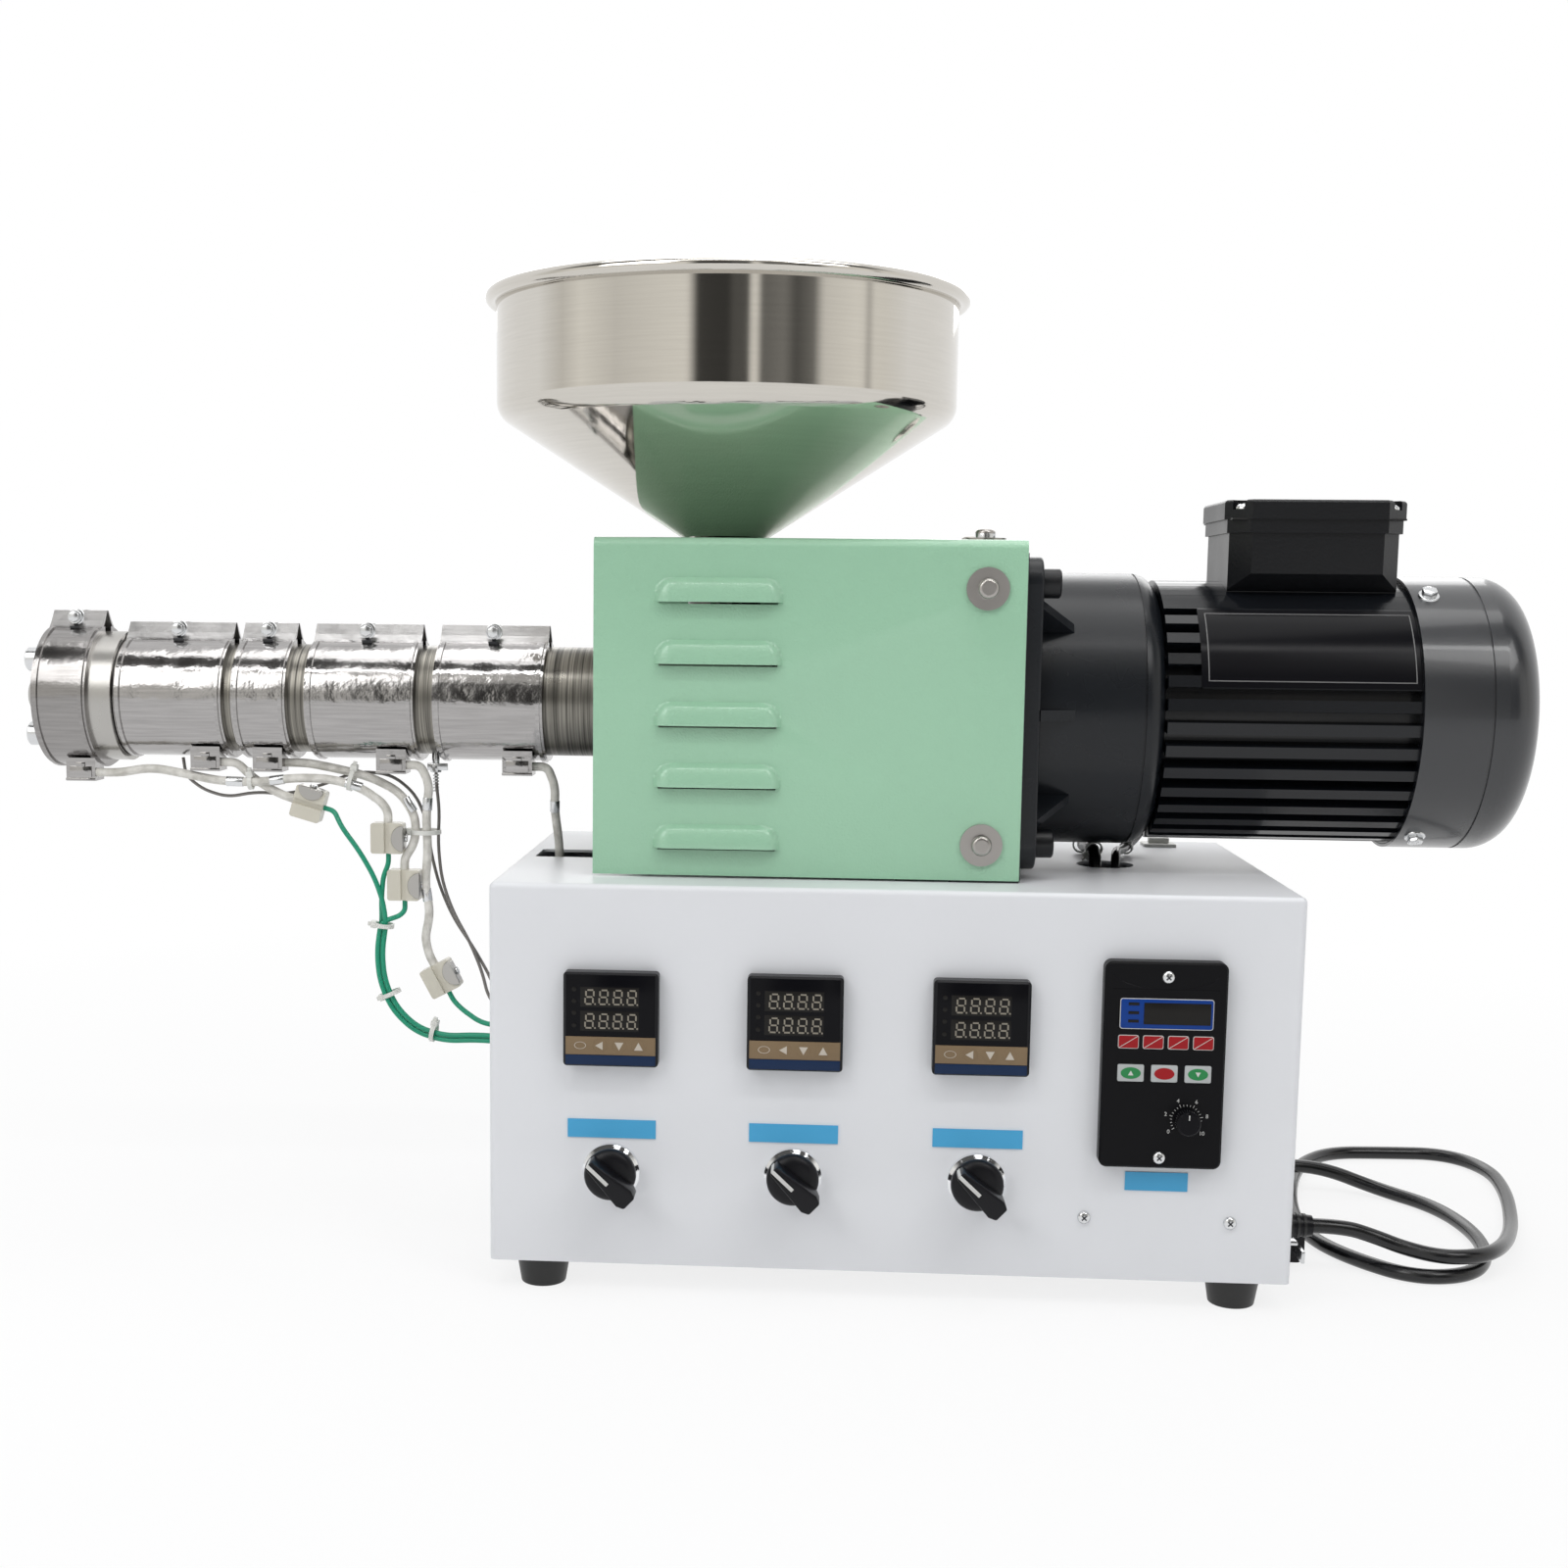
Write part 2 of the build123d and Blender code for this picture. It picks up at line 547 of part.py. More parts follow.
def rod_z(radius, z, x, y):
    """Round bar along Z."""
    return Pos(x, y, (z[0] + z[1]) / 2) * Cylinder(radius, abs(z[1] - z[0]))


def prism_x(sketch, x):
    """Sketch drawn in Y and Z about the machine axis, extruded between two X values."""
    return Pos(x[0], AXIS_Y, AXIS_Z) * extrude(Plane.YZ * sketch, x[1] - x[0])


def turned_x(points):
    """Solid turned about the machine axis from (x, radius) points."""
    face = make_face(Polyline(*points, close=True))
    return Pos(0, AXIS_Y, AXIS_Z) * revolve(Plane.XY * face, Axis.X)


def sector(radius, angles):
    """Slice of a disc between two angles in degrees."""
    reach = 2 * radius
    turns = (angles[0], sum(angles) / 2, angles[1])
    corners = [(reach * cos(radians(a)), reach * sin(radians(a))) for a in turns]
    return Circle(radius) & make_face(Polyline((0, 0), *corners, close=True))


def arc_radii(points):
    """Largest tangent arc that the two runs beside each corner leave room for."""
    places = [Vector(*p) for p in points]
    radii = []
    for before, here, after in zip(places, places[1:], places[2:]):
        run_in = here - before
        run_out = after - here
        turn = radians(run_in.get_angle(run_out))
        radii.append(0.45 * min(run_in.length, run_out.length) / tan(turn / 2))
    return radii


def tube(points, radius):
    """Round tube along straight runs joined by tangent arcs."""
    radii = arc_radii(points)
    print("tube", radius, "arc radii", [round(r, 1) for r in radii])
    path = FilletPolyline(*points, radius=radii)
    return sweep(Plane(origin=path @ 0, z_dir=path % 0) * Circle(radius), path=path)


# Cabinet
def cabinet():
    body = block((0, CABINET_WIDTH), (0, CABINET_DEPTH), (FOOT_HEIGHT, CABINET_TOP))
    body = fillet(body.edges().filter_by(Axis.Z) + body.faces().sort_by(Axis.Z)[-1].edges(), BEND)
    inside = block(
        (SHEET, CABINET_WIDTH - SHEET), (SHEET, CABINET_DEPTH - SHEET), (FOOT_HEIGHT, CABINET_TOP - SHEET)
    )
    bends = inside.edges().filter_by(Axis.Z) + inside.faces().sort_by(Axis.Z)[-1].edges()
    inside = fillet(bends, BEND - SHEET)
    body -= inside
    front = (-SHEET, 2 * SHEET)
    half = CONTROLLER_BODY / 2 + PANEL_PLAY
    for x in CONTROLLER_XS:
        body -= block(around(x, half), front, around(CONTROLLER_HEIGHT, half))
        body -= rod_y(SELECTOR_NECK_RADIUS + SELECTOR_HOLE_PLAY, front, x, SELECTOR_HEIGHT)
    wide = SPEED_BODY_WIDTH / 2 + PANEL_PLAY
    high = SPEED_BODY_HEIGHT / 2 + PANEL_PLAY
    body -= block(around(SPEED_X, wide), front, around(SPEED_HEIGHT, high))
    top = (CABINET_TOP - 2 * SHEET, CABINET_TOP + SHEET)
    slot = block(
        (SLOT_FROM_LEFT, SLOT_FROM_LEFT + SLOT_LENGTH),
        (AXIS_Y - SLOT_BEFORE_AXIS, AXIS_Y + SLOT_BEHIND_AXIS),
        top,
    )
    body -= fillet(slot.edges().filter_by(Axis.Z), BEND)
    body -= rod_z(CABLE_HOLE_RADIUS, top, CABLE_HOLE_X, AXIS_Y)
    body -= rod_x(HARNESS_HOLE_RADIUS, front, AXIS_Y - HARNESS_HOLE_BEFORE_AXIS, HARNESS_HOLE_Z)
    right = (CABINET_WIDTH - 2 * SHEET, CABINET_WIDTH + SHEET)
    body -= rod_x(GLAND_NECK_RADIUS + GLAND_NECK_PLAY, right, GLAND_FROM_FRONT, GLAND_Z)
    return body - cabinet_vents()


def cabinet_vents():
    """Row of upright cooling slots in the rear wall."""
    slot = Plane.XZ * SlotOverall(VENT_HEIGHT, VENT_WIDTH, rotation=90)
    first = CABINET_WIDTH / 2 - (VENT_COUNT - 1) * VENT_PITCH / 2
    height = FOOT_HEIGHT + VENT_RISE + VENT_HEIGHT / 2
    row = Sketch()
    for i in range(VENT_COUNT):
        row += Pos(first + i * VENT_PITCH, CABINET_DEPTH + SHEET, height) * slot
    return extrude(row, 3 * SHEET)


def cabinet_base():
    plate = block(
        (SHEET, CABINET_WIDTH - SHEET), (SHEET, CABINET_DEPTH - SHEET), (FOOT_HEIGHT, FOOT_HEIGHT + SHEET)
    )
    return fillet(plate.edges().filter_by(Axis.Z), BEND - SHEET)


def rubber_foot(x, y):
    profile = Polyline(
        (0, 0), (FOOT_FLOOR_RADIUS, 0), (FOOT_TOP_RADIUS, FOOT_HEIGHT), (0, FOOT_HEIGHT), close=True
    )
    foot = revolve(Plane.XZ * make_face(profile), Axis.Z)
    foot = fillet(foot.edges().sort_by(Axis.Z)[0], FOOT_EDGE)
    return Pos(x, y, 0) * foot


# Panel instruments
def controller_window(x):
    half = CONTROLLER_FACE / 2 - CONTROLLER_FRAME
    depth = (-CONTROLLER_PROUD, CONTROLLER_LENS - CONTROLLER_PROUD)
    return block(around(x, half), depth, around(CONTROLLER_HEIGHT, half))


def temperature_controller(x):
    half = CONTROLLER_FACE / 2
    bezel = block(around(x, half), (-CONTROLLER_PROUD, 0), around(CONTROLLER_HEIGHT, half))
    bezel = fillet(bezel.edges().filter_by(Axis.Y), CONTROLLER_CORNER)
    bezel = chamfer(bezel.faces().sort_by(Axis.Y)[0].edges(), CONTROLLER_CORNER / 2)
    half = CONTROLLER_BODY / 2
    body = block(around(x, half), (0, CONTROLLER_LENGTH), around(CONTROLLER_HEIGHT, half))
    return bezel - controller_window(x) + body


def selector_body(x):
    bezel = rod_y(SELECTOR_BEZEL_RADIUS, (SELECTOR_FACE_Y, 0), x, SELECTOR_HEIGHT)
    bezel = chamfer(bezel.edges().sort_by(Axis.Y)[0], SELECTOR_BEZEL_EDGE)
    body = bezel + rod_y(SELECTOR_NECK_RADIUS, (0, SELECTOR_NECK_LENGTH), x, SELECTOR_HEIGHT)
    half = SELECTOR_BLOCK / 2
    depth = (SELECTOR_NECK_LENGTH, SELECTOR_NECK_LENGTH + SELECTOR_BLOCK_LENGTH)
    body += block(around(x, half), depth, around(SELECTOR_HEIGHT, half))
    bore = (SELECTOR_FACE_Y, SELECTOR_FACE_Y + SELECTOR_STEM_LENGTH + DIAL_GAP)
    return body - rod_y(SELECTOR_STEM_RADIUS + STEM_PLAY, bore, x, SELECTOR_HEIGHT)


def selector_knob(x):
    back = SELECTOR_FACE_Y - DIAL_GAP
    front = back - SELECTOR_DIAL_PROUD
    dial = rod_y(SELECTOR_DIAL_RADIUS, (front, back), 0, 0)
    dial = fillet(dial.edges().sort_by(Axis.Y)[0], SELECTOR_DIAL_EDGE)
    top = SELECTOR_DIAL_RADIUS + SELECTOR_GRIP_OVERHANG
    heel = SELECTOR_DIAL_RADIUS + SELECTOR_HEEL_OVERHANG
    wide = SELECTOR_GRIP_WIDTH / 2
    tip = SELECTOR_GRIP_TIP / 2
    outline = make_face(
        Polyline((-tip, top), (-wide, wide - heel), (0, -heel), (wide, wide - heel), (tip, top), close=True)
    )
    grip = Pos(0, front, 0) * extrude(Plane.XZ * outline, SELECTOR_GRIP_PROUD)
    grip = fillet(grip.faces().sort_by(Axis.Y)[0].edges(), SELECTOR_GRIP_EDGE)
    stem = rod_y(SELECTOR_STEM_RADIUS, (back, back + SELECTOR_STEM_LENGTH), 0, 0)
    return Pos(x, 0, SELECTOR_HEIGHT) * Rot(0, -SELECTOR_TURN, 0) * (dial + grip + stem)


def speed_controller():
    wide = around(SPEED_X, SPEED_PLATE_WIDTH / 2)
    high = around(SPEED_HEIGHT, SPEED_PLATE_HEIGHT / 2)
    plate = block(wide, (SPEED_FACE_Y, 0), high)
    plate = fillet(plate.edges().filter_by(Axis.Y), SPEED_CORNER)
    plate = chamfer(plate.faces().sort_by(Axis.Y)[0].edges(), SPEED_EDGE)
    plate -= block(
        around(SPEED_X, SPEED_WINDOW_WIDTH / 2),
        (SPEED_FACE_Y, SPEED_FACE_Y + SPEED_WINDOW_DEPTH),
        around(SPEED_HEIGHT + SPEED_WINDOW_RISE, SPEED_WINDOW_HEIGHT / 2),
    )
    wide = around(SPEED_X, SPEED_BODY_WIDTH / 2)
    high = around(SPEED_HEIGHT, SPEED_BODY_HEIGHT / 2)
    plate += block(wide, (0, SPEED_BODY_LENGTH), high)
    bore = (SPEED_FACE_Y, SPEED_FACE_Y + SPEED_STEM_LENGTH + DIAL_GAP)
    return plate - rod_y(SPEED_STEM_RADIUS + STEM_PLAY, bore, *SPEED_KNOB_AT)


def speed_knob():
    back = SPEED_FACE_Y - DIAL_GAP
    front = back - SPEED_KNOB_PROUD
    knob = rod_y(SPEED_KNOB_RADIUS, (front, back), 0, 0)
    knob = chamfer(knob.edges().sort_by(Axis.Y)[0], SPEED_KNOB_EDGE)
    slot = (SPEED_KNOB_RADIUS / 4, SPEED_KNOB_RADIUS + SPEED_KNOB_EDGE)
    knob -= block(around(0, SPEED_KNOB_SLOT / 2), (front, front + SPEED_KNOB_SLOT), slot)
    knob += rod_y(SPEED_STEM_RADIUS, (back, back + SPEED_STEM_LENGTH), 0, 0)
    return Pos(SPEED_KNOB_AT[0], 0, SPEED_KNOB_AT[1]) * knob


def label_strip(x, z, length):
    return block(around(x, length / 2), (-STRIP_THICKNESS, 0), around(z, STRIP_HEIGHT / 2))


# Barrel line
def barrel():
    x = (BARREL_HEAD_X, BARREL_TAIL_X)
    wall = rod_x(BARREL_RADIUS, x) - rod_x(BARREL_BORE_RADIUS, x)
    return wall - rod_z(INLET_RADIUS, (AXIS_Z, AXIS_Z + 2 * BARREL_RADIUS), HOPPER_X, AXIS_Y)


def extruder_screw():
    """Screw with one helical flight up to the inlet and a plain shank from there to the coupling."""
    start = BARREL_HEAD_X + SCREW_TIP_GAP
    shank_x = HOPPER_X + INLET_RADIUS + SCREW_SHANK_FROM_INLET
    length = shank_x - start
    half = radians(180 * SCREW_FLIGHT_WIDTH / SCREW_PITCH)
    inner = SCREW_ROOT_RADIUS / 2
    low = [(r * cos(half), -r * sin(half)) for r in (inner, SCREW_RADIUS)]
    high = [(r * cos(half), r * sin(half)) for r in (inner, SCREW_RADIUS)]
    flight = make_face(
        [
            Line(low[0], low[1]),
            ThreePointArc(low[1], (SCREW_RADIUS, 0), high[1]),
            Line(high[1], high[0]),
            Line(high[0], low[0]),
        ]
    )
    section = (Circle(SCREW_ROOT_RADIUS) + flight).faces()[0]
    turns = 360 * length / SCREW_PITCH
    worm = Solid.extrude_linear_with_rotation(section, center=(0, 0, 0), normal=(0, 0, length), angle=turns)
    worm = Pos(start, AXIS_Y, AXIS_Z) * Rot(0, 90, 0) * worm
    return worm + rod_x(SCREW_RADIUS, (shank_x, COUPLING_X[0]))


def die_head():
    return turned_x(
        [
            (DIE_FACE_X, NOZZLE_BORE_RADIUS),
            (NOZZLE_TIP_X, NOZZLE_BORE_RADIUS),
            (NOZZLE_TIP_X, NOZZLE_RADIUS - NOZZLE_EDGE),
            (NOZZLE_TIP_X + NOZZLE_EDGE, NOZZLE_RADIUS),
            (DIE_FACE_X, NOZZLE_RADIUS),
            (DIE_FACE_X, DIE_RADIUS - DIE_EDGE),
            (DIE_FACE_X + DIE_EDGE, DIE_RADIUS),
            (BARREL_HEAD_X, DIE_RADIUS),
            (BARREL_HEAD_X, BARREL_BORE_RADIUS),
            (BARREL_HEAD_X - DIE_CONE_LENGTH, NOZZLE_BORE_RADIUS),
        ]
    )


def socket_head(radius, height, edge, socket, socket_depth):
    """Socket cap head that stands along -X from the origin."""
    head = Pos(-height / 2, 0, 0) * Rot(0, 90, 0) * Cylinder(radius, height)
    head = chamfer(head.edges().sort_by(Axis.X)[0], edge)
    return head - Pos(-height, 0, 0) * extrude(Plane.YZ * RegularPolygon(socket, 6), socket_depth)


def die_bolts():
    head = socket_head(
        DIE_BOLT_RADIUS, DIE_BOLT_PROUD, DIE_BOLT_EDGE, DIE_BOLT_SOCKET, DIE_BOLT_SOCKET_DEPTH
    )
    bolts = []
    for i in range(DIE_BOLT_COUNT):
        angle = 2 * pi * (i + 0.5) / DIE_BOLT_COUNT
        y = AXIS_Y + DIE_BOLT_CIRCLE * cos(angle)
        z = AXIS_Z + DIE_BOLT_CIRCLE * sin(angle)
        bolts.append(Pos(DIE_FACE_X, y, z) * head)
    return bolts


def heater_bore(index):
    return DIE_RADIUS if index == 0 else BARREL_RADIUS


def band_heater(index):
    """Split sheet band with a rolled bead at each end and two ears that the clamp bolt draws together."""
    x = HEATER_XS[index]
    bore = heater_bore(index)
    outer = bore + HEATER_THICKNESS
    top = outer + EAR_RISE
    gap = Pos(0, outer) * Rectangle(EAR_SPREAD, 4 * HEATER_THICKNESS)
    ring = Circle(outer) - Circle(bore) - gap
    foot = EAR_SPREAD + EAR_SHEET
    root = sqrt(outer**2 - foot**2)
    near = sqrt(outer**2 - (EAR_SPREAD - EAR_SHEET) ** 2) - EAR_SHEET
    for side in (-1, 1):
        ear = Polyline(
            (side * foot, root - EAR_SHEET / 2),
            (side * (EAR_SPREAD / 2 + EAR_SHEET), outer + EAR_KNEE),
            (side * (EAR_GAP / 2 + EAR_SHEET), top),
            (side * EAR_GAP / 2, top),
            (side * EAR_SPREAD / 2, outer + EAR_KNEE - EAR_SHEET),
            (side * (EAR_SPREAD - EAR_SHEET), near),
            close=True,
        )
        ring += make_face(ear)
    heater = prism_x(ring, x)
    bead = Circle(outer + HEATER_BEAD) - Circle(outer - HEATER_BEAD)
    bead -= Pos(0, outer) * Rectangle(2 * foot, 2 * foot)
    for start in (x[0] + HEATER_BEAD_INSET, x[1] - HEATER_BEAD_INSET - HEATER_BEAD_WIDTH):
        heater += prism_x(bead, (start, start + HEATER_BEAD_WIDTH))
    bolt_z = AXIS_Z + outer + CLAMP_BOLT_RISE
    hole = around(AXIS_Y, 2 * EAR_SPREAD)
    return heater - rod_y(CLAMP_SHANK_RADIUS + SCREW_PLAY, hole, sum(x) / 2, bolt_z)


def heater_terminal(index):
    """Sheet box under the band that covers its two terminals."""
    outer = heater_bore(index) + HEATER_THICKNESS
    seat = AXIS_Z - sqrt(outer**2 - TERMINAL_ASIDE**2)
    x0 = HEATER_XS[index][0] + TERMINAL_SHIFTS[index]
    x = (x0, x0 + TERMINAL_WIDTH)
    box = block(x, around(TERMINAL_Y, TERMINAL_DEPTH / 2), (seat - TERMINAL_DROP, seat + TERMINAL_DROP))
    return box - rod_x(outer + HEATER_BEAD, (x0 - 1, x0 + TERMINAL_WIDTH + 1))


def clamp_bolt(index):
    x = sum(HEATER_XS[index]) / 2
    z = AXIS_Z + heater_bore(index) + HEATER_THICKNESS + CLAMP_BOLT_RISE
    near, far = around(AXIS_Y, CLAMP_SEAT)
    bolt = rod_y(CLAMP_SHANK_RADIUS, (near, far), x, z)
    bolt += rod_y(CLAMP_BOLT_RADIUS, (near - CLAMP_BOLT_HEAD, near), x, z)
    return bolt + rod_y(CLAMP_BOLT_RADIUS, (far, far + CLAMP_BOLT_HEAD), x, z)


# Hopper
def hopper():
    """Spun sheet bowl with a conical floor, a rolled rim and a flanged neck."""
    inner = [
        (HOPPER_NECK_RADIUS - HOPPER_WALL, FEED_TOP_Z),
        (HOPPER_NECK_RADIUS - HOPPER_WALL, COVER_TOP_Z),
        (HOPPER_RADIUS - HOPPER_WALL, HOPPER_CORNER_Z),
        (HOPPER_RADIUS - HOPPER_WALL, HOPPER_RIM_Z),
    ]
    outer = [
        (HOPPER_RADIUS, HOPPER_RIM_Z),
        (HOPPER_RADIUS, HOPPER_CORNER_Z),
        (HOPPER_NECK_RADIUS, COVER_TOP_Z),
        (HOPPER_NECK_RADIUS, FEED_TOP_Z + HOPPER_FLANGE),
        (HOPPER_FLANGE_RADIUS, FEED_TOP_Z + HOPPER_FLANGE),
        (HOPPER_FLANGE_RADIUS, FEED_TOP_Z),
    ]
    wall = make_face(Polyline(*inner, *outer, close=True))
    corners = [v for v in wall.vertices() if abs(v.Y - HOPPER_CORNER_Z) < HOPPER_WALL / 10]
    wall = fillet(corners, HOPPER_CORNER_RADIUS)
    bead = Pos(HOPPER_RADIUS + HOPPER_RIM_BEAD - HOPPER_WALL, HOPPER_RIM_Z) * Circle(HOPPER_RIM_BEAD)
    return Pos(HOPPER_X, AXIS_Y, 0) * revolve(Plane.XZ * (wall + bead), Axis.Z)


# Feed block and barrel stand
def feed_block():
    x = FEED_BLOCK_X
    body = block(x, around(AXIS_Y, FEED_BLOCK_WIDTH / 2), (AXIS_Z - FEED_BLOCK_BELOW, FEED_TOP_Z))
    body = chamfer(body.edges().filter_by(Axis.X), FEED_BLOCK_EDGE)
    body -= rod_x(BARREL_RADIUS, x)
    return body - rod_z(INLET_RADIUS, (AXIS_Z, FEED_TOP_Z + FEED_BLOCK_EDGE), HOPPER_X, AXIS_Y)


def barrel_stand():
    x = FEED_BLOCK_X
    stand = block(x, around(AXIS_Y, STAND_FOOT_WIDTH / 2), (CABINET_TOP, CABINET_TOP + STAND_FOOT))
    for side in (-1, 1):
        middle = AXIS_Y + side * (FEED_BLOCK_WIDTH - STAND_PLATE) / 2
        high = (CABINET_TOP + STAND_FOOT, AXIS_Z - FEED_BLOCK_BELOW)
        stand += block(x, around(middle, STAND_PLATE / 2), high)
    return stand


# Drive
def cover_screw_places():
    """Seat point and outward direction of each cover screw: front, rear and top."""
    for z in (COVER_BASE_Z + COVER_SCREW_FROM_BASE, COVER_TOP_Z - COVER_SCREW_FROM_TOP):
        yield (COVER_SCREW_X, COVER_Y[0], z), (0, -1, 0)
        yield (COVER_SCREW_X, COVER_Y[1], z), (0, 1, 0)
    for y in (COVER_Y[0] + COVER_SCREW_FROM_SIDE, COVER_Y[1] - COVER_SCREW_FROM_SIDE):
        yield (COVER_SCREW_X, y, COVER_TOP_Z), (0, 0, 1)


def along(place, direction, low, high, radius):
    """Round bar between two distances from a place along a direction."""
    middle = [p + d * (low + high) / 2 for p, d in zip(place, direction)]
    return Plane(origin=tuple(middle), z_dir=direction) * Cylinder(radius, high - low)


def cover_screw_holes():
    holes = []
    for place, out in cover_screw_places():
        depth = COVER_SCREW_LENGTH + WASHER
        holes.append(along(place, out, -depth, WASHER, COVER_SCREW_SHANK_RADIUS + SCREW_PLAY))
    return holes


def cover_screws():
    """Button-head screws with their wide washers."""
    screws = []
    for place, out in cover_screw_places():
        head = along(place, out, WASHER, WASHER + COVER_SCREW_HEAD, COVER_SCREW_HEAD_RADIUS)
        outward = Axis((0, 0, 0), out)
        head = fillet(head.edges().filter_by(GeomType.CIRCLE).sort_by(outward)[-1], COVER_SCREW_ROUND)
        washer = along(place, out, 0, WASHER, WASHER_RADIUS)
        shank = along(place, out, WASHER - COVER_SCREW_LENGTH, WASHER, COVER_SCREW_SHANK_RADIUS)
        screws.append(shank + washer + head)
    return screws


def drive_bracket():
    """Welded frame under the cover that carries the reducer's flange and takes the cover's screws."""
    top = COVER_TOP_Z - COVER_SHEET
    inside = (COVER_Y[0] + COVER_SHEET, COVER_Y[1] - COVER_SHEET)
    across = around(AXIS_Y, FLANGE_SIDE / 2)
    frame = block((FLANGE_X - BRACKET_PLATE, FLANGE_X), across, (CABINET_TOP, top - COVER_BEND))
    x = (FLANGE_X - BRACKET_CHEEK_LENGTH, FLANGE_X - COVER_END_GAP)
    for y in ((inside[0], inside[0] + BRACKET_CHEEK), (inside[1] - BRACKET_CHEEK, inside[1])):
        frame += block(x, y, (CABINET_TOP, top - COVER_BEND))
    frame += block(x, (inside[0] + COVER_BEND, inside[1] - COVER_BEND), (top - BRACKET_CHEEK, top))
    frame += block(
        (FLANGE_X - BRACKET_FOOT_LENGTH, FLANGE_X), across, (CABINET_TOP, CABINET_TOP + BRACKET_FOOT)
    )
    for hole in cover_screw_holes():
        frame -= hole
    return frame - rod_x(SHAFT_RADIUS + SHAFT_HOLE_PLAY, (FLANGE_X - 2 * BRACKET_PLATE, FLANGE_X + 1))


def shaft_coupling():
    return rod_x(COUPLING_RADIUS, COUPLING_X)


def gear_reducer():
    """Square flange with a ribbed drum and its output shaft."""
    plate = prism_x(RectangleRounded(FLANGE_SIDE, FLANGE_SIDE, FLANGE_CORNER), (FLANGE_X, FLANGE_X + FLANGE))
    plate = fillet(plate.faces().sort_by(Axis.X)[-1].edges(), FLANGE_EDGE)
    drum = rod_x(DRUM_RADIUS, DRUM_X)
    drum = fillet(drum.edges().sort_by(Axis.X)[-1], DRUM_ROUND)
    seam_x = DRUM_X[1] - DRUM_SEAM_FROM_END
    seam = rod_x(DRUM_RADIUS + 1, (seam_x - DRUM_SEAM, seam_x)) - rod_x(
        DRUM_RADIUS - DRUM_SEAM_DEPTH, (seam_x - DRUM_SEAM, seam_x)
    )
    body = plate + (drum - seam) + rod_x(SHAFT_RADIUS, (COUPLING_X[1], FLANGE_X))
    base = DRUM_RADIUS - RIB
    for angle, rise in zip(RIB_ANGLES, RIB_RISES):
        outline = Polyline(
            (DRUM_X[0], base),
            (DRUM_X[0], DRUM_RADIUS + rise),
            (DRUM_X[0] + RIB_LENGTH, DRUM_RADIUS),
            (DRUM_X[0] + RIB_LENGTH, base),
            close=True,
        )
        rib = extrude(Plane.XY * make_face(outline), RIB / 2, both=True)
        for turn in (angle, 180 + angle):
            body += Pos(0, AXIS_Y, AXIS_Z) * Rot(turn, 0, 0) * rib
    return body


def flange_bolts():
    head = socket_head(
        FLANGE_BOLT_RADIUS, FLANGE_BOLT_HEAD, FLANGE_BOLT_EDGE, FLANGE_BOLT_SOCKET, FLANGE_BOLT_SOCKET_DEPTH
    )
    reach = FLANGE_SIDE / 2 - FLANGE_BOLT_INSET
    x = FLANGE_X + FLANGE
    return [
        Pos(x, AXIS_Y + side_y * reach, AXIS_Z + side_z * reach) * Rot(0, 180, 0) * head
        for side_y in (-1, 1)
        for side_z in (-1, 1)
    ]


def motor_body():
    """Finned shell with a smooth pad on top for the terminal box and one at the side for a plate."""
    section = Circle(MOTOR_CORE_RADIUS)
    length = MOTOR_FIN_DEPTH + MOTOR_FIN_ROOT
    for i in range(MOTOR_FIN_COUNT):
        fin = Pos(MOTOR_FIN_RADIUS - length / 2, 0) * Rectangle(length, MOTOR_FIN)
        section += Rot(0, 0, 360 / MOTOR_FIN_COUNT * (i + 0.5)) * fin
    section += sector(MOTOR_FIN_RADIUS, MOTOR_TOP_PAD)
    body = prism_x(section, MOTOR_X)
    plate_x = (MOTOR_X[1] - MOTOR_PLATE_PAD_LENGTH, MOTOR_X[1])
    body += prism_x(sector(MOTOR_FIN_RADIUS, MOTOR_PLATE_PAD), plate_x)
    spigot = FAN_COVER_RADIUS - FAN_COVER_SHEET - COVER_SEAT_PLAY
    body += rod_x(spigot, (MOTOR_X[1], MOTOR_X[1] + MOTOR_SPIGOT))
    top = AXIS_Z + FAN_COVER_RADIUS
    return body - block(BOX_X, around(AXIS_Y, BOX_NECK_HALF_WIDTH), (BOX_SEAT_Z, top))


def footprint(length, width, corner):
    outline = Rectangle(length, width)
    return chamfer(outline.vertices(), corner)


def terminal_box():
    """Cast box on a narrower neck, with a ledge under its lid and two cable glands at the rear."""
    middle = sum(BOX_X) / 2
    seat = BOX_SEAT_Z - AXIS_Z
    wall = BOX_WALL_Z - AXIS_Z
    half = [
        (BOX_NECK_HALF_WIDTH, seat),
        (BOX_NECK_HALF_WIDTH, seat + BOX_NECK),
        (BOX_HALF_WIDTH, wall),
        (BOX_HALF_WIDTH, BOX_LEDGE_Z - AXIS_Z),
    ]
    profile = make_face(Polyline(*half, *[(-y, z) for y, z in reversed(half)], close=True))
    plan = Pos(middle, AXIS_Y, BOX_SEAT_Z) * extrude(
        footprint(BOX_LENGTH, 2 * BOX_HALF_WIDTH, BOX_CORNER), BOX_LEDGE_Z - BOX_SEAT_Z
    )
    box = prism_x(profile, BOX_X) & plan
    ledge = footprint(BOX_LENGTH + 2 * BOX_LEDGE_PROUD, 2 * (BOX_HALF_WIDTH + BOX_LEDGE_PROUD), BOX_CORNER)
    box += Pos(middle, AXIS_Y, BOX_LEDGE_Z) * extrude(ledge, BOX_LEDGE)
    for place, radius in zip(BOX_GLAND_PLACES, CABLE_RADII):
        y = (BOX_REAR_Y, BOX_REAR_Y + BOX_GLAND_LENGTH)
        box += rod_y(radius + BOX_GLAND_GAP, y, BOX_X[0] + place, BOX_GLAND_Z)
    return box


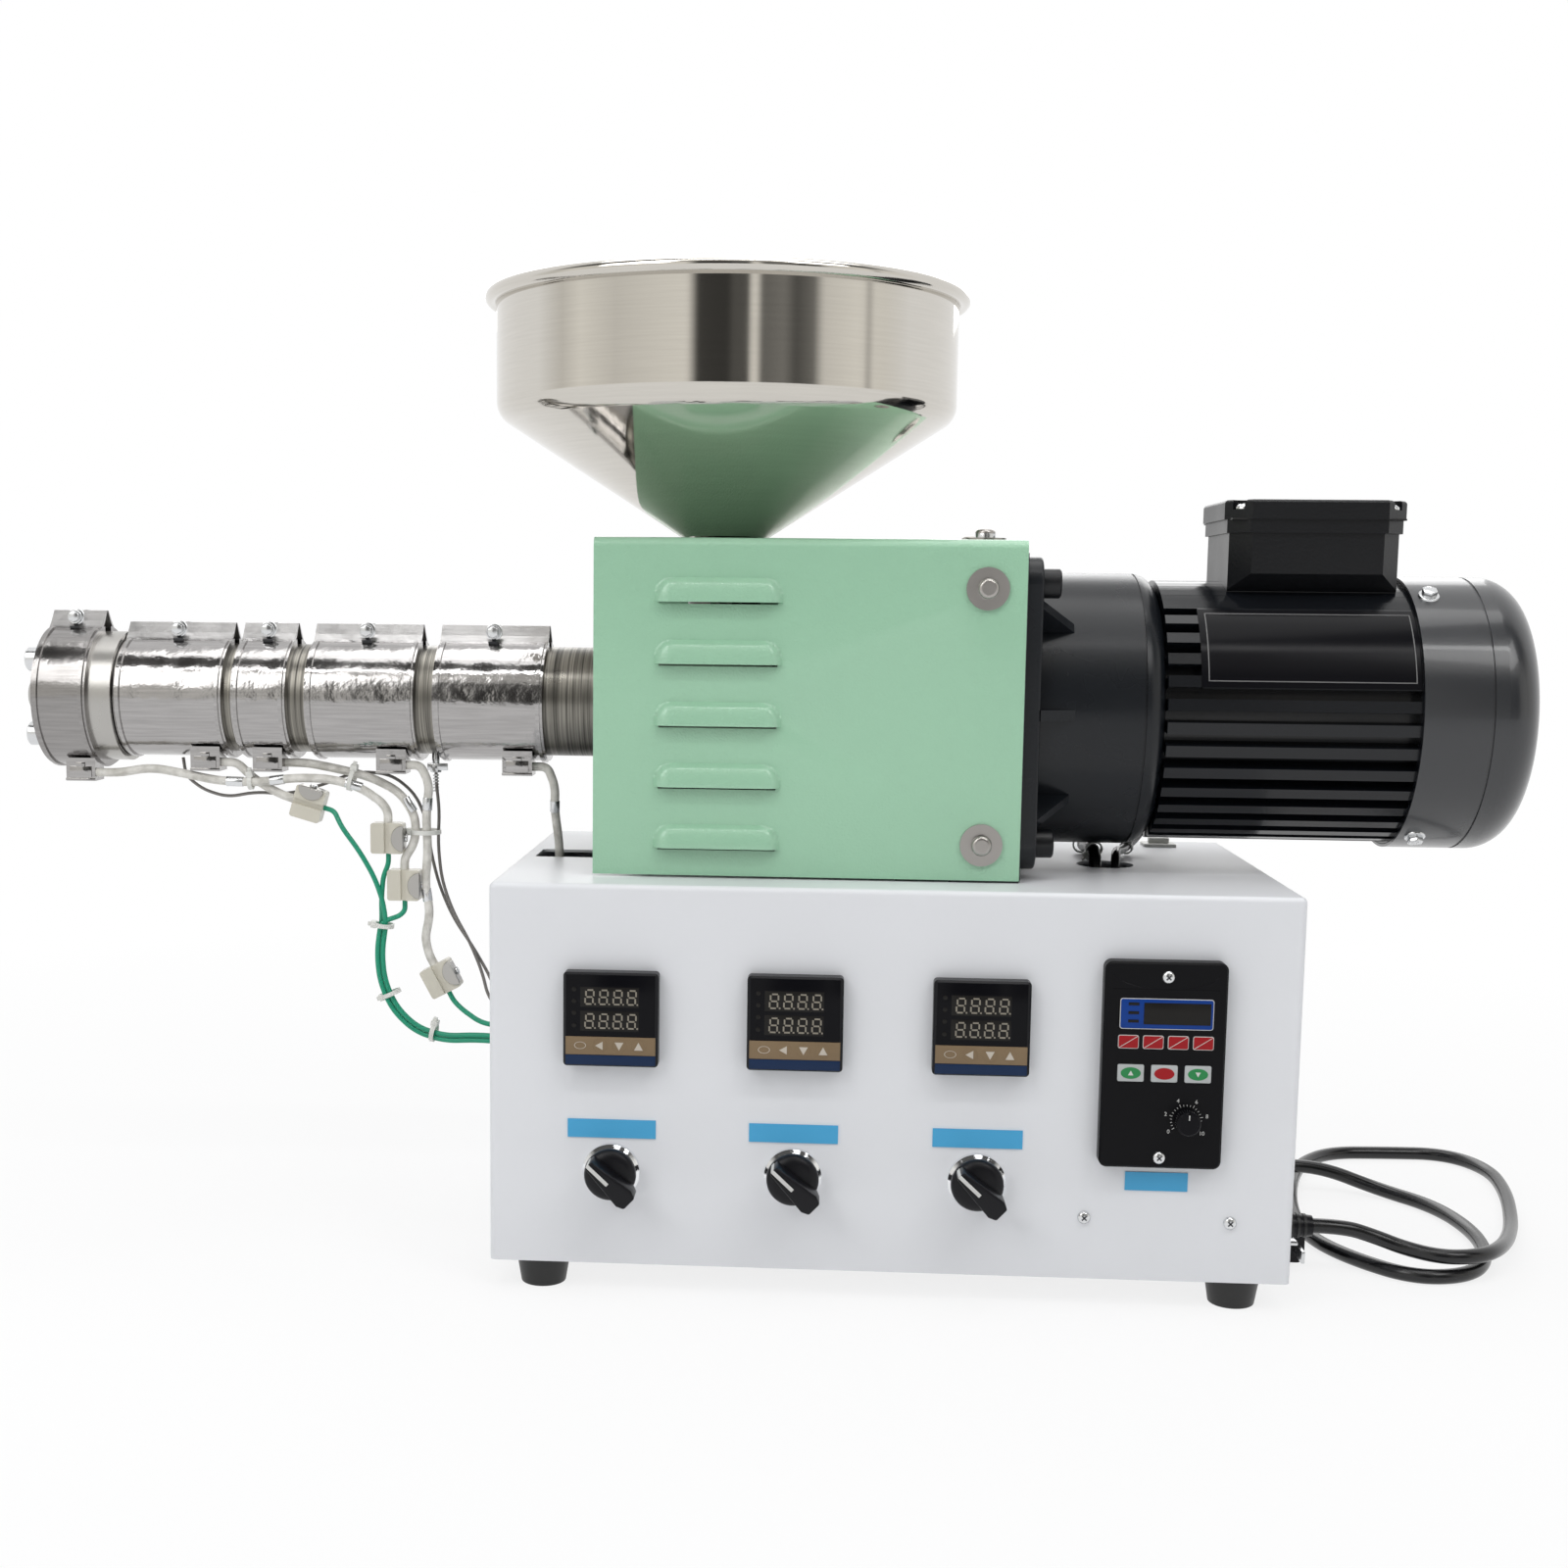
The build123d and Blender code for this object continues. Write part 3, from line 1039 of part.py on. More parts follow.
def terminal_box_lid():
    middle = sum(BOX_X) / 2
    length = BOX_LENGTH + 2 * LID_PROUD
    width = 2 * (BOX_HALF_WIDTH + LID_PROUD)
    plan = footprint(length, width, BOX_CORNER + LID_EDGE)
    lid = Pos(middle, AXIS_Y, BOX_TOP_Z) * extrude(plan, LID_THICKNESS)
    lid = fillet(lid.faces().sort_by(Axis.Z)[-1].edges(), LID_EDGE)
    top = BOX_TOP_Z + LID_THICKNESS
    for x in around(middle, length / 2 - LID_RECESS_INSET):
        for y in around(AXIS_Y, width / 2 - LID_RECESS_INSET):
            lid -= rod_z(LID_RECESS_RADIUS, (top - LID_RECESS_DEPTH, top + LID_EDGE), x, y)
    return lid


def fan_cover_face(sheet):
    """Half section of the cover's outside, or of its inside when the sheet is taken off."""
    radius = FAN_COVER_RADIUS - sheet
    end = FAN_COVER_END_X - sheet
    face = make_face(
        Polyline((MOTOR_X[1], 0), (MOTOR_X[1], radius), (end, radius), (end, 0), close=True)
    )
    rim = face.vertices().sort_by(Axis.X)[-2:].sort_by(Axis.Y)[-1]
    return fillet(rim, FAN_COVER_ROUND - sheet)


def fan_cover():
    shell = Plane.XY * (fan_cover_face(0) - fan_cover_face(FAN_COVER_SHEET))
    shell = Pos(0, AXIS_Y, AXIS_Z) * revolve(shell, Axis.X)
    bead_x = FAN_COVER_END_X - FAN_COVER_BEAD_FROM_END
    bead = (bead_x - FAN_COVER_BEAD, bead_x)
    shell -= rod_x(FAN_COVER_RADIUS, bead) - rod_x(FAN_COVER_RADIUS - FAN_COVER_SHEET / 2, bead)
    slots = Sketch()
    for i in range(GRILLE_RINGS):
        low = GRILLE_FIRST + i * (GRILLE_SLOT + GRILLE_LAND)
        slots += Circle(low + GRILLE_SLOT) - Circle(low)
    for i in range(GRILLE_BARS):
        slots -= Rot(0, 0, 180 / GRILLE_BARS * i) * Rectangle(2 * FAN_COVER_RADIUS, GRILLE_BAR)
    return shell - prism_x(slots, (FAN_COVER_END_X - 2 * FAN_COVER_SHEET, FAN_COVER_END_X + FAN_COVER_SHEET))


def cooling_fan():
    start = MOTOR_X[1] + FAN_GAP
    x = (start, start + FAN_LENGTH)
    fan = rod_x(FAN_HUB_RADIUS, x)
    blades = Sketch()
    length = FAN_RADIUS - FAN_HUB_RADIUS + FAN_BLADE
    for i in range(FAN_BLADES):
        blade = Pos(FAN_RADIUS - length / 2, 0) * Rectangle(length, FAN_BLADE)
        blades += Rot(0, 0, 360 / FAN_BLADES * i) * blade
    fan += prism_x(blades, x)
    return fan + rod_x(FAN_SHAFT_RADIUS, (MOTOR_X[1] + MOTOR_SPIGOT, x[0]))


# Drive cover
def louvre(z_top):
    """Hood pressed out of the front sheet, and the space behind it, open downwards."""
    y = COVER_Y[0]
    hood = block(LOUVRE_X, (y - LOUVRE_PROUD, y + COVER_SHEET), (z_top - LOUVRE_HEIGHT, z_top))
    hood = fillet(hood.edges().group_by(Axis.Y)[0].sort_by(Axis.Z)[1:], LOUVRE_ROUND)
    space = block(
        (LOUVRE_X[0] + COVER_SHEET, LOUVRE_X[1] - COVER_SHEET),
        (y - LOUVRE_PROUD + COVER_SHEET, y + 2 * COVER_SHEET),
        (z_top - LOUVRE_HEIGHT - COVER_SHEET, z_top - COVER_SHEET),
    )
    return hood, space


def drive_cover():
    """Folded sheet cover, open at both ends, with five louvres in front and a hole for the hopper's neck."""
    high = COVER_TOP_Z - COVER_BASE_Z
    middle = (COVER_TOP_Z + COVER_BASE_Z) / 2 - AXIS_Z
    outer = Pos(0, middle) * Rectangle(COVER_WIDTH, high)
    outer = fillet(outer.vertices().group_by(Axis.Y)[-1], COVER_BEND)
    inner = Pos(0, middle - COVER_SHEET) * Rectangle(COVER_WIDTH - 2 * COVER_SHEET, high)
    inner = fillet(inner.vertices().group_by(Axis.Y)[-1], COVER_BEND - COVER_SHEET)
    cover = prism_x(outer - inner, COVER_X)
    for i in range(LOUVRE_COUNT):
        hood, space = louvre(LOUVRE_TOP_Z - i * LOUVRE_PITCH)
        cover = cover + hood - space
    for hole in cover_screw_holes():
        cover -= hole
    top = (COVER_TOP_Z - 2 * COVER_SHEET, COVER_TOP_Z + COVER_SHEET)
    return cover - rod_z(HOPPER_NECK_RADIUS + COVER_HOPPER_PLAY, top, HOPPER_X, AXIS_Y)


# Leads and their connectors
def terminal_exit(index):
    """Point on a terminal box's right side where its lead comes out."""
    outer = heater_bore(index) + HEATER_THICKNESS
    x = HEATER_XS[index][0] + TERMINAL_SHIFTS[index] + TERMINAL_WIDTH
    return x, LEAD_Y[index], AXIS_Z - sqrt(outer**2 - TERMINAL_ASIDE**2) - LEAD_BELOW_SEAT


def connector_port(name, side, out):
    """Point beyond the middle of a connector's lead side (1) or supply side (-1)."""
    x, y, z, lean = CONNECTORS[name]
    reach = side * (CONNECTOR_HEIGHT / 2 + out)
    return x + reach * sin(radians(lean)), y, z + reach * cos(radians(lean))


def heater_lead(index):
    """Sleeved lead from a heater's terminal box to its connector, or through the cabinet's slot."""
    x, y, z = terminal_exit(index)
    points = [(x, y, z), (x + LEAD_STRAIGHTS[index], y, z), *LEAD_ROUTES[index]]
    name = LEAD_ENDS[index]
    if name:
        points += [connector_port(name, 1, LEAD_TO_CONNECTOR), connector_port(name, 1, 0)]
    return Pos(0, AXIS_Y, 0) * tube(points, LEAD_RADIUS)


def beside(route, across, behind):
    """Route in X and Z moved sideways by one distance and given its Y values plus another."""
    moved = []
    for i, (x, z) in enumerate(route):
        ahead = route[min(i + 1, len(route) - 1)]
        back = route[max(i - 1, 0)]
        run = Vector(ahead[0] - back[0], 0, ahead[1] - back[1]).normalized()
        moved.append((x + across * run.Z, SUPPLY_TRUNK_Y[i] + behind, z - across * run.X))
    return moved


def supply_wire(name):
    points = [connector_port(name, -1, 0), connector_port(name, -1, LEAD_TO_CONNECTOR)]
    points += SUPPLY_BRANCHES[name]
    if name in SUPPLY_PLACES:
        across, behind = [place * SUPPLY_PITCH for place in SUPPLY_PLACES[name]]
        points += beside(SUPPLY_TRUNK, across, behind)
    return Pos(0, AXIS_Y, 0) * tube(points, SUPPLY_RADIUS)


def connector(place):
    """Glazed block with a groove across its face for the clamp screw's plate."""
    x, y, z, lean = place
    half = (CONNECTOR_WIDTH / 2, CONNECTOR_DEPTH / 2, CONNECTOR_HEIGHT / 2)
    body = block((-half[0], half[0]), (-half[1], half[1]), (-half[2], half[2]))
    body = fillet(body.edges().filter_by(Axis.Y), CONNECTOR_EDGE)
    groove = (-half[1], CONNECTOR_GROOVE - half[1])
    body -= block(around(0, CONNECTOR_EDGE), groove, (-half[2], half[2]))
    return Pos(x, AXIS_Y + y, z) * Rot(0, lean, 0) * body


def motor_cable(index):
    """Cable from inside the cabinet to its gland at the rear of the terminal box."""
    end = (BOX_X[0] + BOX_GLAND_PLACES[index], BOX_HALF_WIDTH + BOX_GLAND_LENGTH, BOX_GLAND_Z)
    return Pos(0, AXIS_Y, 0) * tube([*CABLE_ROUTES[index], end], CABLE_RADII[index])


# Power cord
def cord_gland():
    """Nut on the cabinet's side with a neck through the sheet and a tapered sleeve round the cord."""
    start = CABINET_WIDTH + GLAND_NUT
    gland = rod_x(GLAND_NECK_RADIUS, (CABINET_WIDTH - GLAND_NECK, CABINET_WIDTH), GLAND_FROM_FRONT, GLAND_Z)
    gland += rod_x(GLAND_NUT_RADIUS, (CABINET_WIDTH, start), GLAND_FROM_FRONT, GLAND_Z)
    sleeve = Rot(0, 90, 0) * Cone(*GLAND_RADII, GLAND_LENGTH)
    return gland + Pos(start + GLAND_LENGTH / 2, GLAND_FROM_FRONT, GLAND_Z) * sleeve


def power_plug():
    """Moulded plug with a tapered tail and three flat pins, lying on the floor."""
    x, y = PLUG_AT
    z = PLUG_WIDTH / 2
    body = block(around(x, PLUG_WIDTH / 2), (y - PLUG_LENGTH, y), (0, PLUG_WIDTH))
    body = fillet(body.edges().filter_by(Axis.Y), PLUG_CORNER)
    tail = Cone(*reversed(PLUG_TAIL_RADII), PLUG_TAIL_LENGTH)
    tail = Pos(x, y + PLUG_TAIL_LENGTH / 2, z) * Rot(-90, 0, 0) * tail
    body += tail
    depth = (y - PLUG_LENGTH - PLUG_PIN_LENGTH, y - PLUG_LENGTH)
    wide, thick = PLUG_PIN
    for side in (-1, 1):
        across = around(x + side * PLUG_PIN_APART, thick / 2)
        body += block(across, depth, around(z - PLUG_EARTH_RISE / 2, wide / 2))
    return body + block(around(x, wide / 2), depth, around(z + PLUG_EARTH_RISE, thick / 2))


keep("cabinet_shell", cabinet())
keep("cabinet_base", cabinet_base())
keep(
    "rubber_feet",
    *[
        rubber_foot(x, y)
        for x in (FOOT_INSET, CABINET_WIDTH - FOOT_INSET)
        for y in (FOOT_INSET_FRONT, CABINET_DEPTH - FOOT_INSET_FRONT)
    ],
)
keep("temperature_controllers", *[temperature_controller(x) for x in CONTROLLER_XS])
keep("controller_faces", *[controller_window(x) for x in CONTROLLER_XS])
keep("selector_bodies", *[selector_body(x) for x in CONTROLLER_XS])
for name, x in zip(("left", "middle", "right"), CONTROLLER_XS):
    keep(f"selector_knob_{name}", selector_knob(x))
keep("speed_controller", speed_controller())
keep("speed_knob", speed_knob())
keep(
    "label_strips",
    *[label_strip(x, STRIP_Z, STRIP_LENGTH) for x in CONTROLLER_XS],
    label_strip(SPEED_X, SPEED_STRIP_Z, SPEED_STRIP_LENGTH),
)
keep("barrel", barrel())
keep("extruder_screw", extruder_screw())
keep("die_head", die_head())
keep("die_bolts", *die_bolts())
for index in range(len(HEATER_XS)):
    keep(f"band_heater_{index + 1}", band_heater(index))
keep("heater_terminals", *[heater_terminal(i) for i in range(len(HEATER_XS))])
keep("heater_clamp_bolts", *[clamp_bolt(i) for i in range(len(HEATER_XS))])
keep("hopper", hopper())
keep("feed_block", feed_block())
keep("barrel_stand", barrel_stand())
keep("drive_bracket", drive_bracket())
keep("shaft_coupling", shaft_coupling())
keep("gear_reducer", gear_reducer())
keep("flange_bolts", *flange_bolts())
keep("motor_body", motor_body())
keep("terminal_box", terminal_box())
keep("terminal_box_lid", terminal_box_lid())
keep("fan_cover", fan_cover())
keep("cooling_fan", cooling_fan())
keep("drive_cover", drive_cover())
keep("cover_screws", *cover_screws())
keep("heater_leads", *[heater_lead(i) for i in range(len(HEATER_XS))])
keep("lead_connectors", *[connector(place) for place in CONNECTORS.values()])
keep("supply_wires", *[supply_wire(name) for name in CONNECTORS])
keep("thermocouple_leads", *[Pos(0, AXIS_Y, 0) * tube(route, PROBE_RADIUS) for route in PROBE_ROUTES])
keep("motor_cables", *[motor_cable(i) for i in range(len(CABLE_ROUTES))])
keep("cord_gland", cord_gland())
keep("power_cord", tube(CORD_ROUTE, CORD_RADIUS))
keep("power_plug", power_plug())

for name, shape in PARTS.items():
    export_step(shape, f"parts/{name}.step")
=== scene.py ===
"""Looks of a small plastic extruder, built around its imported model.

Sizes are in millimetres from the front lower left corner of the control cabinet at floor
level, X towards the motor, Y to the rear and Z up, and become metres of the shared frame
when a piece is finished.
"""

import logging
import math
from dataclasses import dataclass, replace
from enum import Enum
from typing import ClassVar, Iterable, Sequence

import bmesh
import bpy
from mathutils import Matrix, Vector

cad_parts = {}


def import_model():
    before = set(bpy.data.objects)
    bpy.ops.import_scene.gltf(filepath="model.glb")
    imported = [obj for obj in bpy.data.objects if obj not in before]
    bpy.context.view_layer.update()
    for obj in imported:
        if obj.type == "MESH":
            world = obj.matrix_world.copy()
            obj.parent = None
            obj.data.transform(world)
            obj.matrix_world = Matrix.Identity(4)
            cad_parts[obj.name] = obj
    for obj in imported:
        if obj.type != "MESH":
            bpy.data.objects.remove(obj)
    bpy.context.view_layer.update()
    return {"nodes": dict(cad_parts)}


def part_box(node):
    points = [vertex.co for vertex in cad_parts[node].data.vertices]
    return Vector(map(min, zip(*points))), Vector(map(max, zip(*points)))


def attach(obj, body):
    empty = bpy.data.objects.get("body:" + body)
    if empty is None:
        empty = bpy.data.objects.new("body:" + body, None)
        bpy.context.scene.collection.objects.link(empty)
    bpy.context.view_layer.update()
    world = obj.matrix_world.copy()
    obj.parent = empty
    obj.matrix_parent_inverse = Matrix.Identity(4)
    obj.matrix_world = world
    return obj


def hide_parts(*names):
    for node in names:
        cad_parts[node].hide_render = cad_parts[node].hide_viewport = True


LOG = logging.getLogger("extruder")
Point = Sequence[float]
Pair = tuple[float, float]
Colour = tuple[float, float, float]
Socket = bpy.types.NodeSocket
TO_FRONT, TO_REAR, TO_RIGHT, TO_LEFT, UPWARDS = (0, -1, 0), (0, 1, 0), (1, 0, 0), (-1, 0, 0), (0, 0, 1)
PURE_WHITE = (1, 1, 1)


class Grain(Enum):
    """How the fine pattern of a finish runs, as noise stretch along X, Y and Z."""

    EVEN = (1, 1, 1)
    TURNED_X = (1, 0.012, 0.012)
    SPUN_Z = (0.03, 0.03, 1)
    BRUSHED_ROUND = (0.05, 1, 1)


class NodeLink:
    """Small wrapper that adds and joins shader nodes in one tree."""

    def __init__(self, tree: bpy.types.NodeTree) -> None:
        """Take the tree of a material, a world or a group to work on."""
        self.tree = tree

    def add(self, kind: str, inputs: dict | None = None, **settings: object) -> bpy.types.Node:
        """Add a node.

        Args:
            kind: The node's type name.
            inputs: Values or sockets for its inputs, by name or number.
            **settings: Properties of the node.

        Returns:
            The new node.
        """
        node = self.tree.nodes.new(kind)
        for key, value in settings.items():
            setattr(node, key, value)
        for key, value in (inputs or {}).items():
            if isinstance(value, Socket):
                self.tree.links.new(value, node.inputs[key])
            else:
                node.inputs[key].default_value = value
        return node

    def sum(self, operation: str, *values: float | Socket) -> Socket:
        """Give what a sum on one or two values comes to."""
        return self.add("ShaderNodeMath", dict(enumerate(values)), operation=operation).outputs[0]

    def remap(self, value: Socket, low: float, high: float, first: float = 0.0, last: float = 1.0) -> Socket:
        """Give a value moved from the range low to high into the range first to last."""
        return self.add("ShaderNodeMapRange", {0: value, 1: low, 2: high, 3: first, 4: last}).outputs[0]

    def blend(self, share: Socket, first: Colour | Socket, last: Colour | Socket) -> Socket:
        """Mix two colours.

        Args:
            share: Share of the last one.
            first: The first colour.
            last: The last colour.

        Returns:
            The mixed colour.
        """
        ends = [end if isinstance(end, Socket) else (*end, 1) for end in (first, last)]
        return self.add("ShaderNodeMix", {0: share, 6: ends[0], 7: ends[1]}, data_type="RGBA").outputs[2]


class Effects:
    """What several finishes share: their noise group and the materials made so far."""

    _groups: ClassVar[dict[str, bpy.types.NodeTree]] = {}
    materials: ClassVar[dict[str, bpy.types.Material]] = {}

    @classmethod
    def speckle(cls) -> bpy.types.NodeTree:
        """Give the group that turns a position into fine and broad noise values.

        Returns:
            The node group with Vector, Fine and Broad inputs and two value outputs.
        """
        if "speckle" in cls._groups:
            return cls._groups["speckle"]
        tree = bpy.data.node_groups.new("speckle", "ShaderNodeTree")
        for name, way, kind in (
            ("Vector", "INPUT", "Vector"), ("Fine", "INPUT", "Float"), ("Broad", "INPUT", "Float"),
            ("Fine value", "OUTPUT", "Float"), ("Broad value", "OUTPUT", "Float"),
        ):
            tree.interface.new_socket(name, in_out=way, socket_type=f"NodeSocket{kind}")
        link = NodeLink(tree)
        given = link.add("NodeGroupInput").outputs
        out = link.add("NodeGroupOutput")
        for scale, detail in (("Fine", 3), ("Broad", 4)):
            inputs = {"Vector": given["Vector"], "Scale": given[scale], "Detail": detail}
            noise = link.add("ShaderNodeTexNoise", inputs)
            tree.links.new(noise.outputs[0], out.inputs[f"{scale} value"])
        cls._groups["speckle"] = tree
        return tree


@dataclass(frozen=True)
class Layer:
    """A change of look with height: painted shade on the hopper's neck inside the cover, and a paler, duller
    strip along the top of the bands.
    """

    start: float  # Height in metres at which it starts
    full: float  # Height in metres at which it is full
    share: float  # Its share where it is full
    colour: Colour  # The colour that it brings
    duller: bool = False  # Whether its share is also added to the roughness


@dataclass(frozen=True)
class Finish:
    """One finish of the machine."""

    name: str  # Name of the finish and of its material
    colour: Colour  # Base colour, linear
    roughness: float = 0.5  # Middle roughness
    metallic: float = 0.0  # How metallic it is
    spread: float = 0.06  # How far the roughness wanders to both sides
    mottle: float = 0.05  # Share by which the colour wanders
    fine: float = 900.0  # Scale of the fine pattern, per metre
    broad: float = 12.0  # Scale of the broad mottling, per metre
    bump: float = 0.15  # Strength of the fine relief
    relief: float = 0.0002  # Depth of the fine relief in metres
    grain: Grain = Grain.EVEN  # How the fine pattern runs
    coat: float = 0.0  # Weight of a clear coat
    wave: float = 0.0  # Strength of a broad unevenness of the surface
    tint: Colour | None = None  # Colour towards which the mottling goes, where it has its own
    specular: float = 0.5  # Level of its plain reflection, 0.5 for glass and lacquer
    layer: Layer | None = None  # Change of the look with height

    noise_range: ClassVar[Pair] = (0.3, 0.7)
    least_roughness: ClassVar[float] = 0.02
    coat_roughness: ClassVar[float] = 0.1
    wave_depth: ClassVar[float] = 0.002

    def material(self) -> bpy.types.Material:
        """Make the material, or hand out the one made before.

        Returns:
            The node material of this finish.
        """
        if self.name in Effects.materials:
            return Effects.materials[self.name]
        made = bpy.data.materials.new(self.name)
        Effects.materials[self.name] = made
        made.use_nodes = True
        self._wire(made.node_tree)
        return made

    def _wire(self, tree: bpy.types.NodeTree) -> None:
        """Set the shader's constants and drive its colour, roughness and normal by noise.

        Args:
            tree: The material's tree.
        """
        link = NodeLink(tree)
        place = link.add("ShaderNodeTexCoord").outputs["Object"]
        along = link.add("ShaderNodeMapping", {"Vector": place, "Scale": self.grain.value}).outputs[0]
        scales = {"Fine": self.fine, "Broad": self.broad}
        grained, even = (
            link.add("ShaderNodeGroup", {"Vector": way, **scales}, node_tree=Effects.speckle()).outputs
            for way in (along, place)
        )
        low = tuple(c * (1 - self.mottle) for c in self.colour)
        high = self.tint or tuple(min(1, c * (1 + self.mottle)) for c in self.colour)
        source = even["Broad value"] if self.grain is Grain.EVEN else grained["Fine value"]
        colour = link.blend(link.remap(source, *self.noise_range), low, high)
        smoothest = max(self.least_roughness, self.roughness - self.spread)
        dull = link.remap(even["Broad value"], *self.noise_range, smoothest, self.roughness + self.spread)
        if self.layer:
            height = link.add("ShaderNodeSeparateXYZ", {0: place}).outputs["Z"]
            share = link.remap(height, self.layer.start, self.layer.full, 0, self.layer.share)
            colour = link.blend(share, colour, self.layer.colour)
            dull = link.sum("ADD", dull, share) if self.layer.duller else dull
        relief = {"Height": grained["Fine value"], "Strength": self.bump, "Distance": self.relief}
        if self.wave:
            uneven = {"Height": even["Broad value"], "Strength": self.wave, "Distance": self.wave_depth}
            relief["Normal"] = link.add("ShaderNodeBump", uneven).outputs[0]
        shader = tree.nodes["Principled BSDF"]
        for name, value in (
            ("Metallic", self.metallic), ("Specular IOR Level", self.specular), ("Coat Weight", self.coat),
            ("Coat Roughness", self.coat_roughness),
        ):
            shader.inputs[name].default_value = value
        tree.links.new(colour, shader.inputs["Base Color"])
        tree.links.new(dull, shader.inputs["Roughness"])
        tree.links.new(link.add("ShaderNodeBump", relief).outputs[0], shader.inputs["Normal"])


@dataclass(frozen=True)
class Metal(Finish):
    """The finish of a bare metal."""

    metallic: float = 1.0


MINT = Finish(
    "mint_powder_coat", (0.335, 0.595, 0.408), 0.38, mottle=0.02, fine=800, bump=0.8, relief=0.0004, coat=0.7
)
WHITE = Finish("white_powder_coat", (0.78, 0.79, 0.815), 0.36, mottle=0.01, fine=1400, bump=0.1)
BLACK_PAINT = Finish(
    "black_machine_paint", (0.0075, 0.009, 0.0115), 0.27, mottle=0.12, fine=420, bump=0.16, specular=0.33
)
FAN_PAINT = Finish(
    "black_fan_cover_paint", (0.012, 0.0135, 0.017), 0.3, spread=0.05, mottle=0.12, fine=420, bump=0.12,
    specular=0.6, coat=0.5,
)
BLACK_LID = Finish(
    "black_cast_paint", (0.006, 0.0065, 0.008), 0.34, mottle=0.12, fine=700, bump=0.3, specular=0.33
)
FIN_PAINT = Finish(
    "black_fin_paint", (0.005, 0.006, 0.008), 0.2, mottle=0.12, fine=300, bump=0.12, specular=0.4
)
# Dark painted steel of the bracket, stand and clamp tabs, and painted shade in screw recesses and sockets.
DARK_STEEL_AND_RECESS_SHADE = Finish("dark_steel_paint_and_recess_shade", (0.05, 0.052, 0.058), 0.45)
# Below the drive cover's top the neck turns nearly black: painted shade inside the cover.
HOPPER_STEEL = Metal(
    "spun_polished_steel", (0.60, 0.575, 0.53), 0.08, spread=0.03, mottle=0.025, broad=7, bump=0.02,
    relief=0.00003, grain=Grain.SPUN_Z, wave=0.035, layer=Layer(0.3835, 0.3815, 0.9, (0.02, 0.02, 0.018)),
)
BAND_STEEL = Metal(
    "band_polished_steel", (0.39, 0.38, 0.375), 0.15, spread=0.07, mottle=0.1, fine=700, broad=55, bump=0.06,
    relief=0.00008, grain=Grain.BRUSHED_ROUND, wave=0.42, layer=Layer(0.3280, 0.3305, 0.2, PURE_WHITE, True),
)
DIE_BAND_STEEL = replace(
    BAND_STEEL, name="die_band_steel", colour=(0.305, 0.295, 0.29), roughness=0.2, spread=0.06, wave=0.35,
    layer=Layer(0.3340, 0.3365, 0.2, PURE_WHITE, True),
)
TURNED = Metal(
    "turned_barrel_steel", (0.115, 0.11, 0.10), 0.34, spread=0.08, mottle=0.55, broad=30, bump=0.45,
    relief=0.00012, grain=Grain.TURNED_X, tint=(0.315, 0.30, 0.265),
)
PLAIN_STEEL = Metal("ground_steel", (0.45, 0.44, 0.42), 0.28, mottle=0.1, fine=600)
WASHER_STEEL = Metal("brushed_washer_steel", (0.42, 0.40, 0.38), 0.34, spread=0.08, mottle=0.12)
ZINC = Metal("zinc_plate", (0.68, 0.69, 0.70), 0.24, mottle=0.06, fine=500, bump=0.1)
CHROME = Metal("bright_chrome", (0.82, 0.83, 0.85), 0.06, spread=0.02, mottle=0.01)
RUBBER = Finish("moulded_rubber", (0.007, 0.007, 0.007), 0.42, fine=1500, bump=0.25)
PLASTIC = Finish("moulded_black_plastic", (0.006, 0.006, 0.008), 0.3, fine=1600, bump=0.12, specular=0.22)
GLOSS_BLACK = Finish(
    "black_gloss_panel", (0.0045, 0.0045, 0.006), 0.18, spread=0.03, fine=800, bump=0.03, specular=0.1
)
MATT_BLACK = Finish("black_panel_film", (0.005, 0.005, 0.006), 0.34, fine=1500, bump=0.1, specular=0.1)
WINDOW = Finish("display_window", (0.016, 0.015, 0.014), 0.22, fine=800, bump=0.02, specular=0.12)
SEGMENT = Finish("unlit_segment", (0.27, 0.245, 0.20), specular=0.2)
KEY_MARK = Finish("key_mark_print", (0.52, 0.47, 0.40), bump=0.02)
TAN = Finish("tan_key_film", (0.22, 0.155, 0.09), 0.45, fine=1200, bump=0.08, specular=0.2)
NAVY = Finish("navy_film", (0.012, 0.028, 0.075), 0.4, fine=1200, bump=0.05, specular=0.15)
PALE_PRINT = Finish("pale_print", (0.62, 0.62, 0.60), bump=0.02)
DIM_PRINT = Finish("dim_print", (0.16, 0.16, 0.16), bump=0.02)
KEY_GREY = Finish("grey_key", (0.46, 0.48, 0.48), 0.4, bump=0.05)
KEY_RED = Finish("red_key", (0.34, 0.010, 0.014), 0.4, bump=0.05, specular=0.2)
KEY_GREEN = Finish("green_key", (0.008, 0.22, 0.055), 0.4, bump=0.05)
DISPLAY_BLUE = Finish("blue_display_film", (0.006, 0.045, 0.25), 0.3, bump=0.02, specular=0.15)
SKY = Finish("sky_blue_strip", (0.055, 0.37, 0.66), 0.42, mottle=0.04, fine=500, bump=0.06)
CERAMIC = Finish("glazed_ceramic", (0.62, 0.59, 0.50), 0.32, fine=400, coat=0.25)
SLEEVE = Finish(
    "woven_sleeve", (0.62, 0.60, 0.545), 0.72, mottle=0.15, fine=1500, broad=160, bump=0.8, relief=0.0003,
    tint=(0.82, 0.80, 0.75),
)
PROBE_SLEEVE = Finish("braided_probe_sleeve", (0.20, 0.19, 0.18), 0.42, 0.6, mottle=0.25, fine=2200, bump=0.7)
GREEN_WIRE = Finish("green_insulation", (0.008, 0.30, 0.17), 0.38, mottle=0.12, bump=0.3)
NYLON = Finish("natural_nylon", (0.74, 0.74, 0.70), 0.4, mottle=0.04, fine=700, bump=0.08)
CABLE = Finish("black_cable_sheath", (0.006, 0.006, 0.007), 0.22, spread=0.04, bump=0.08)
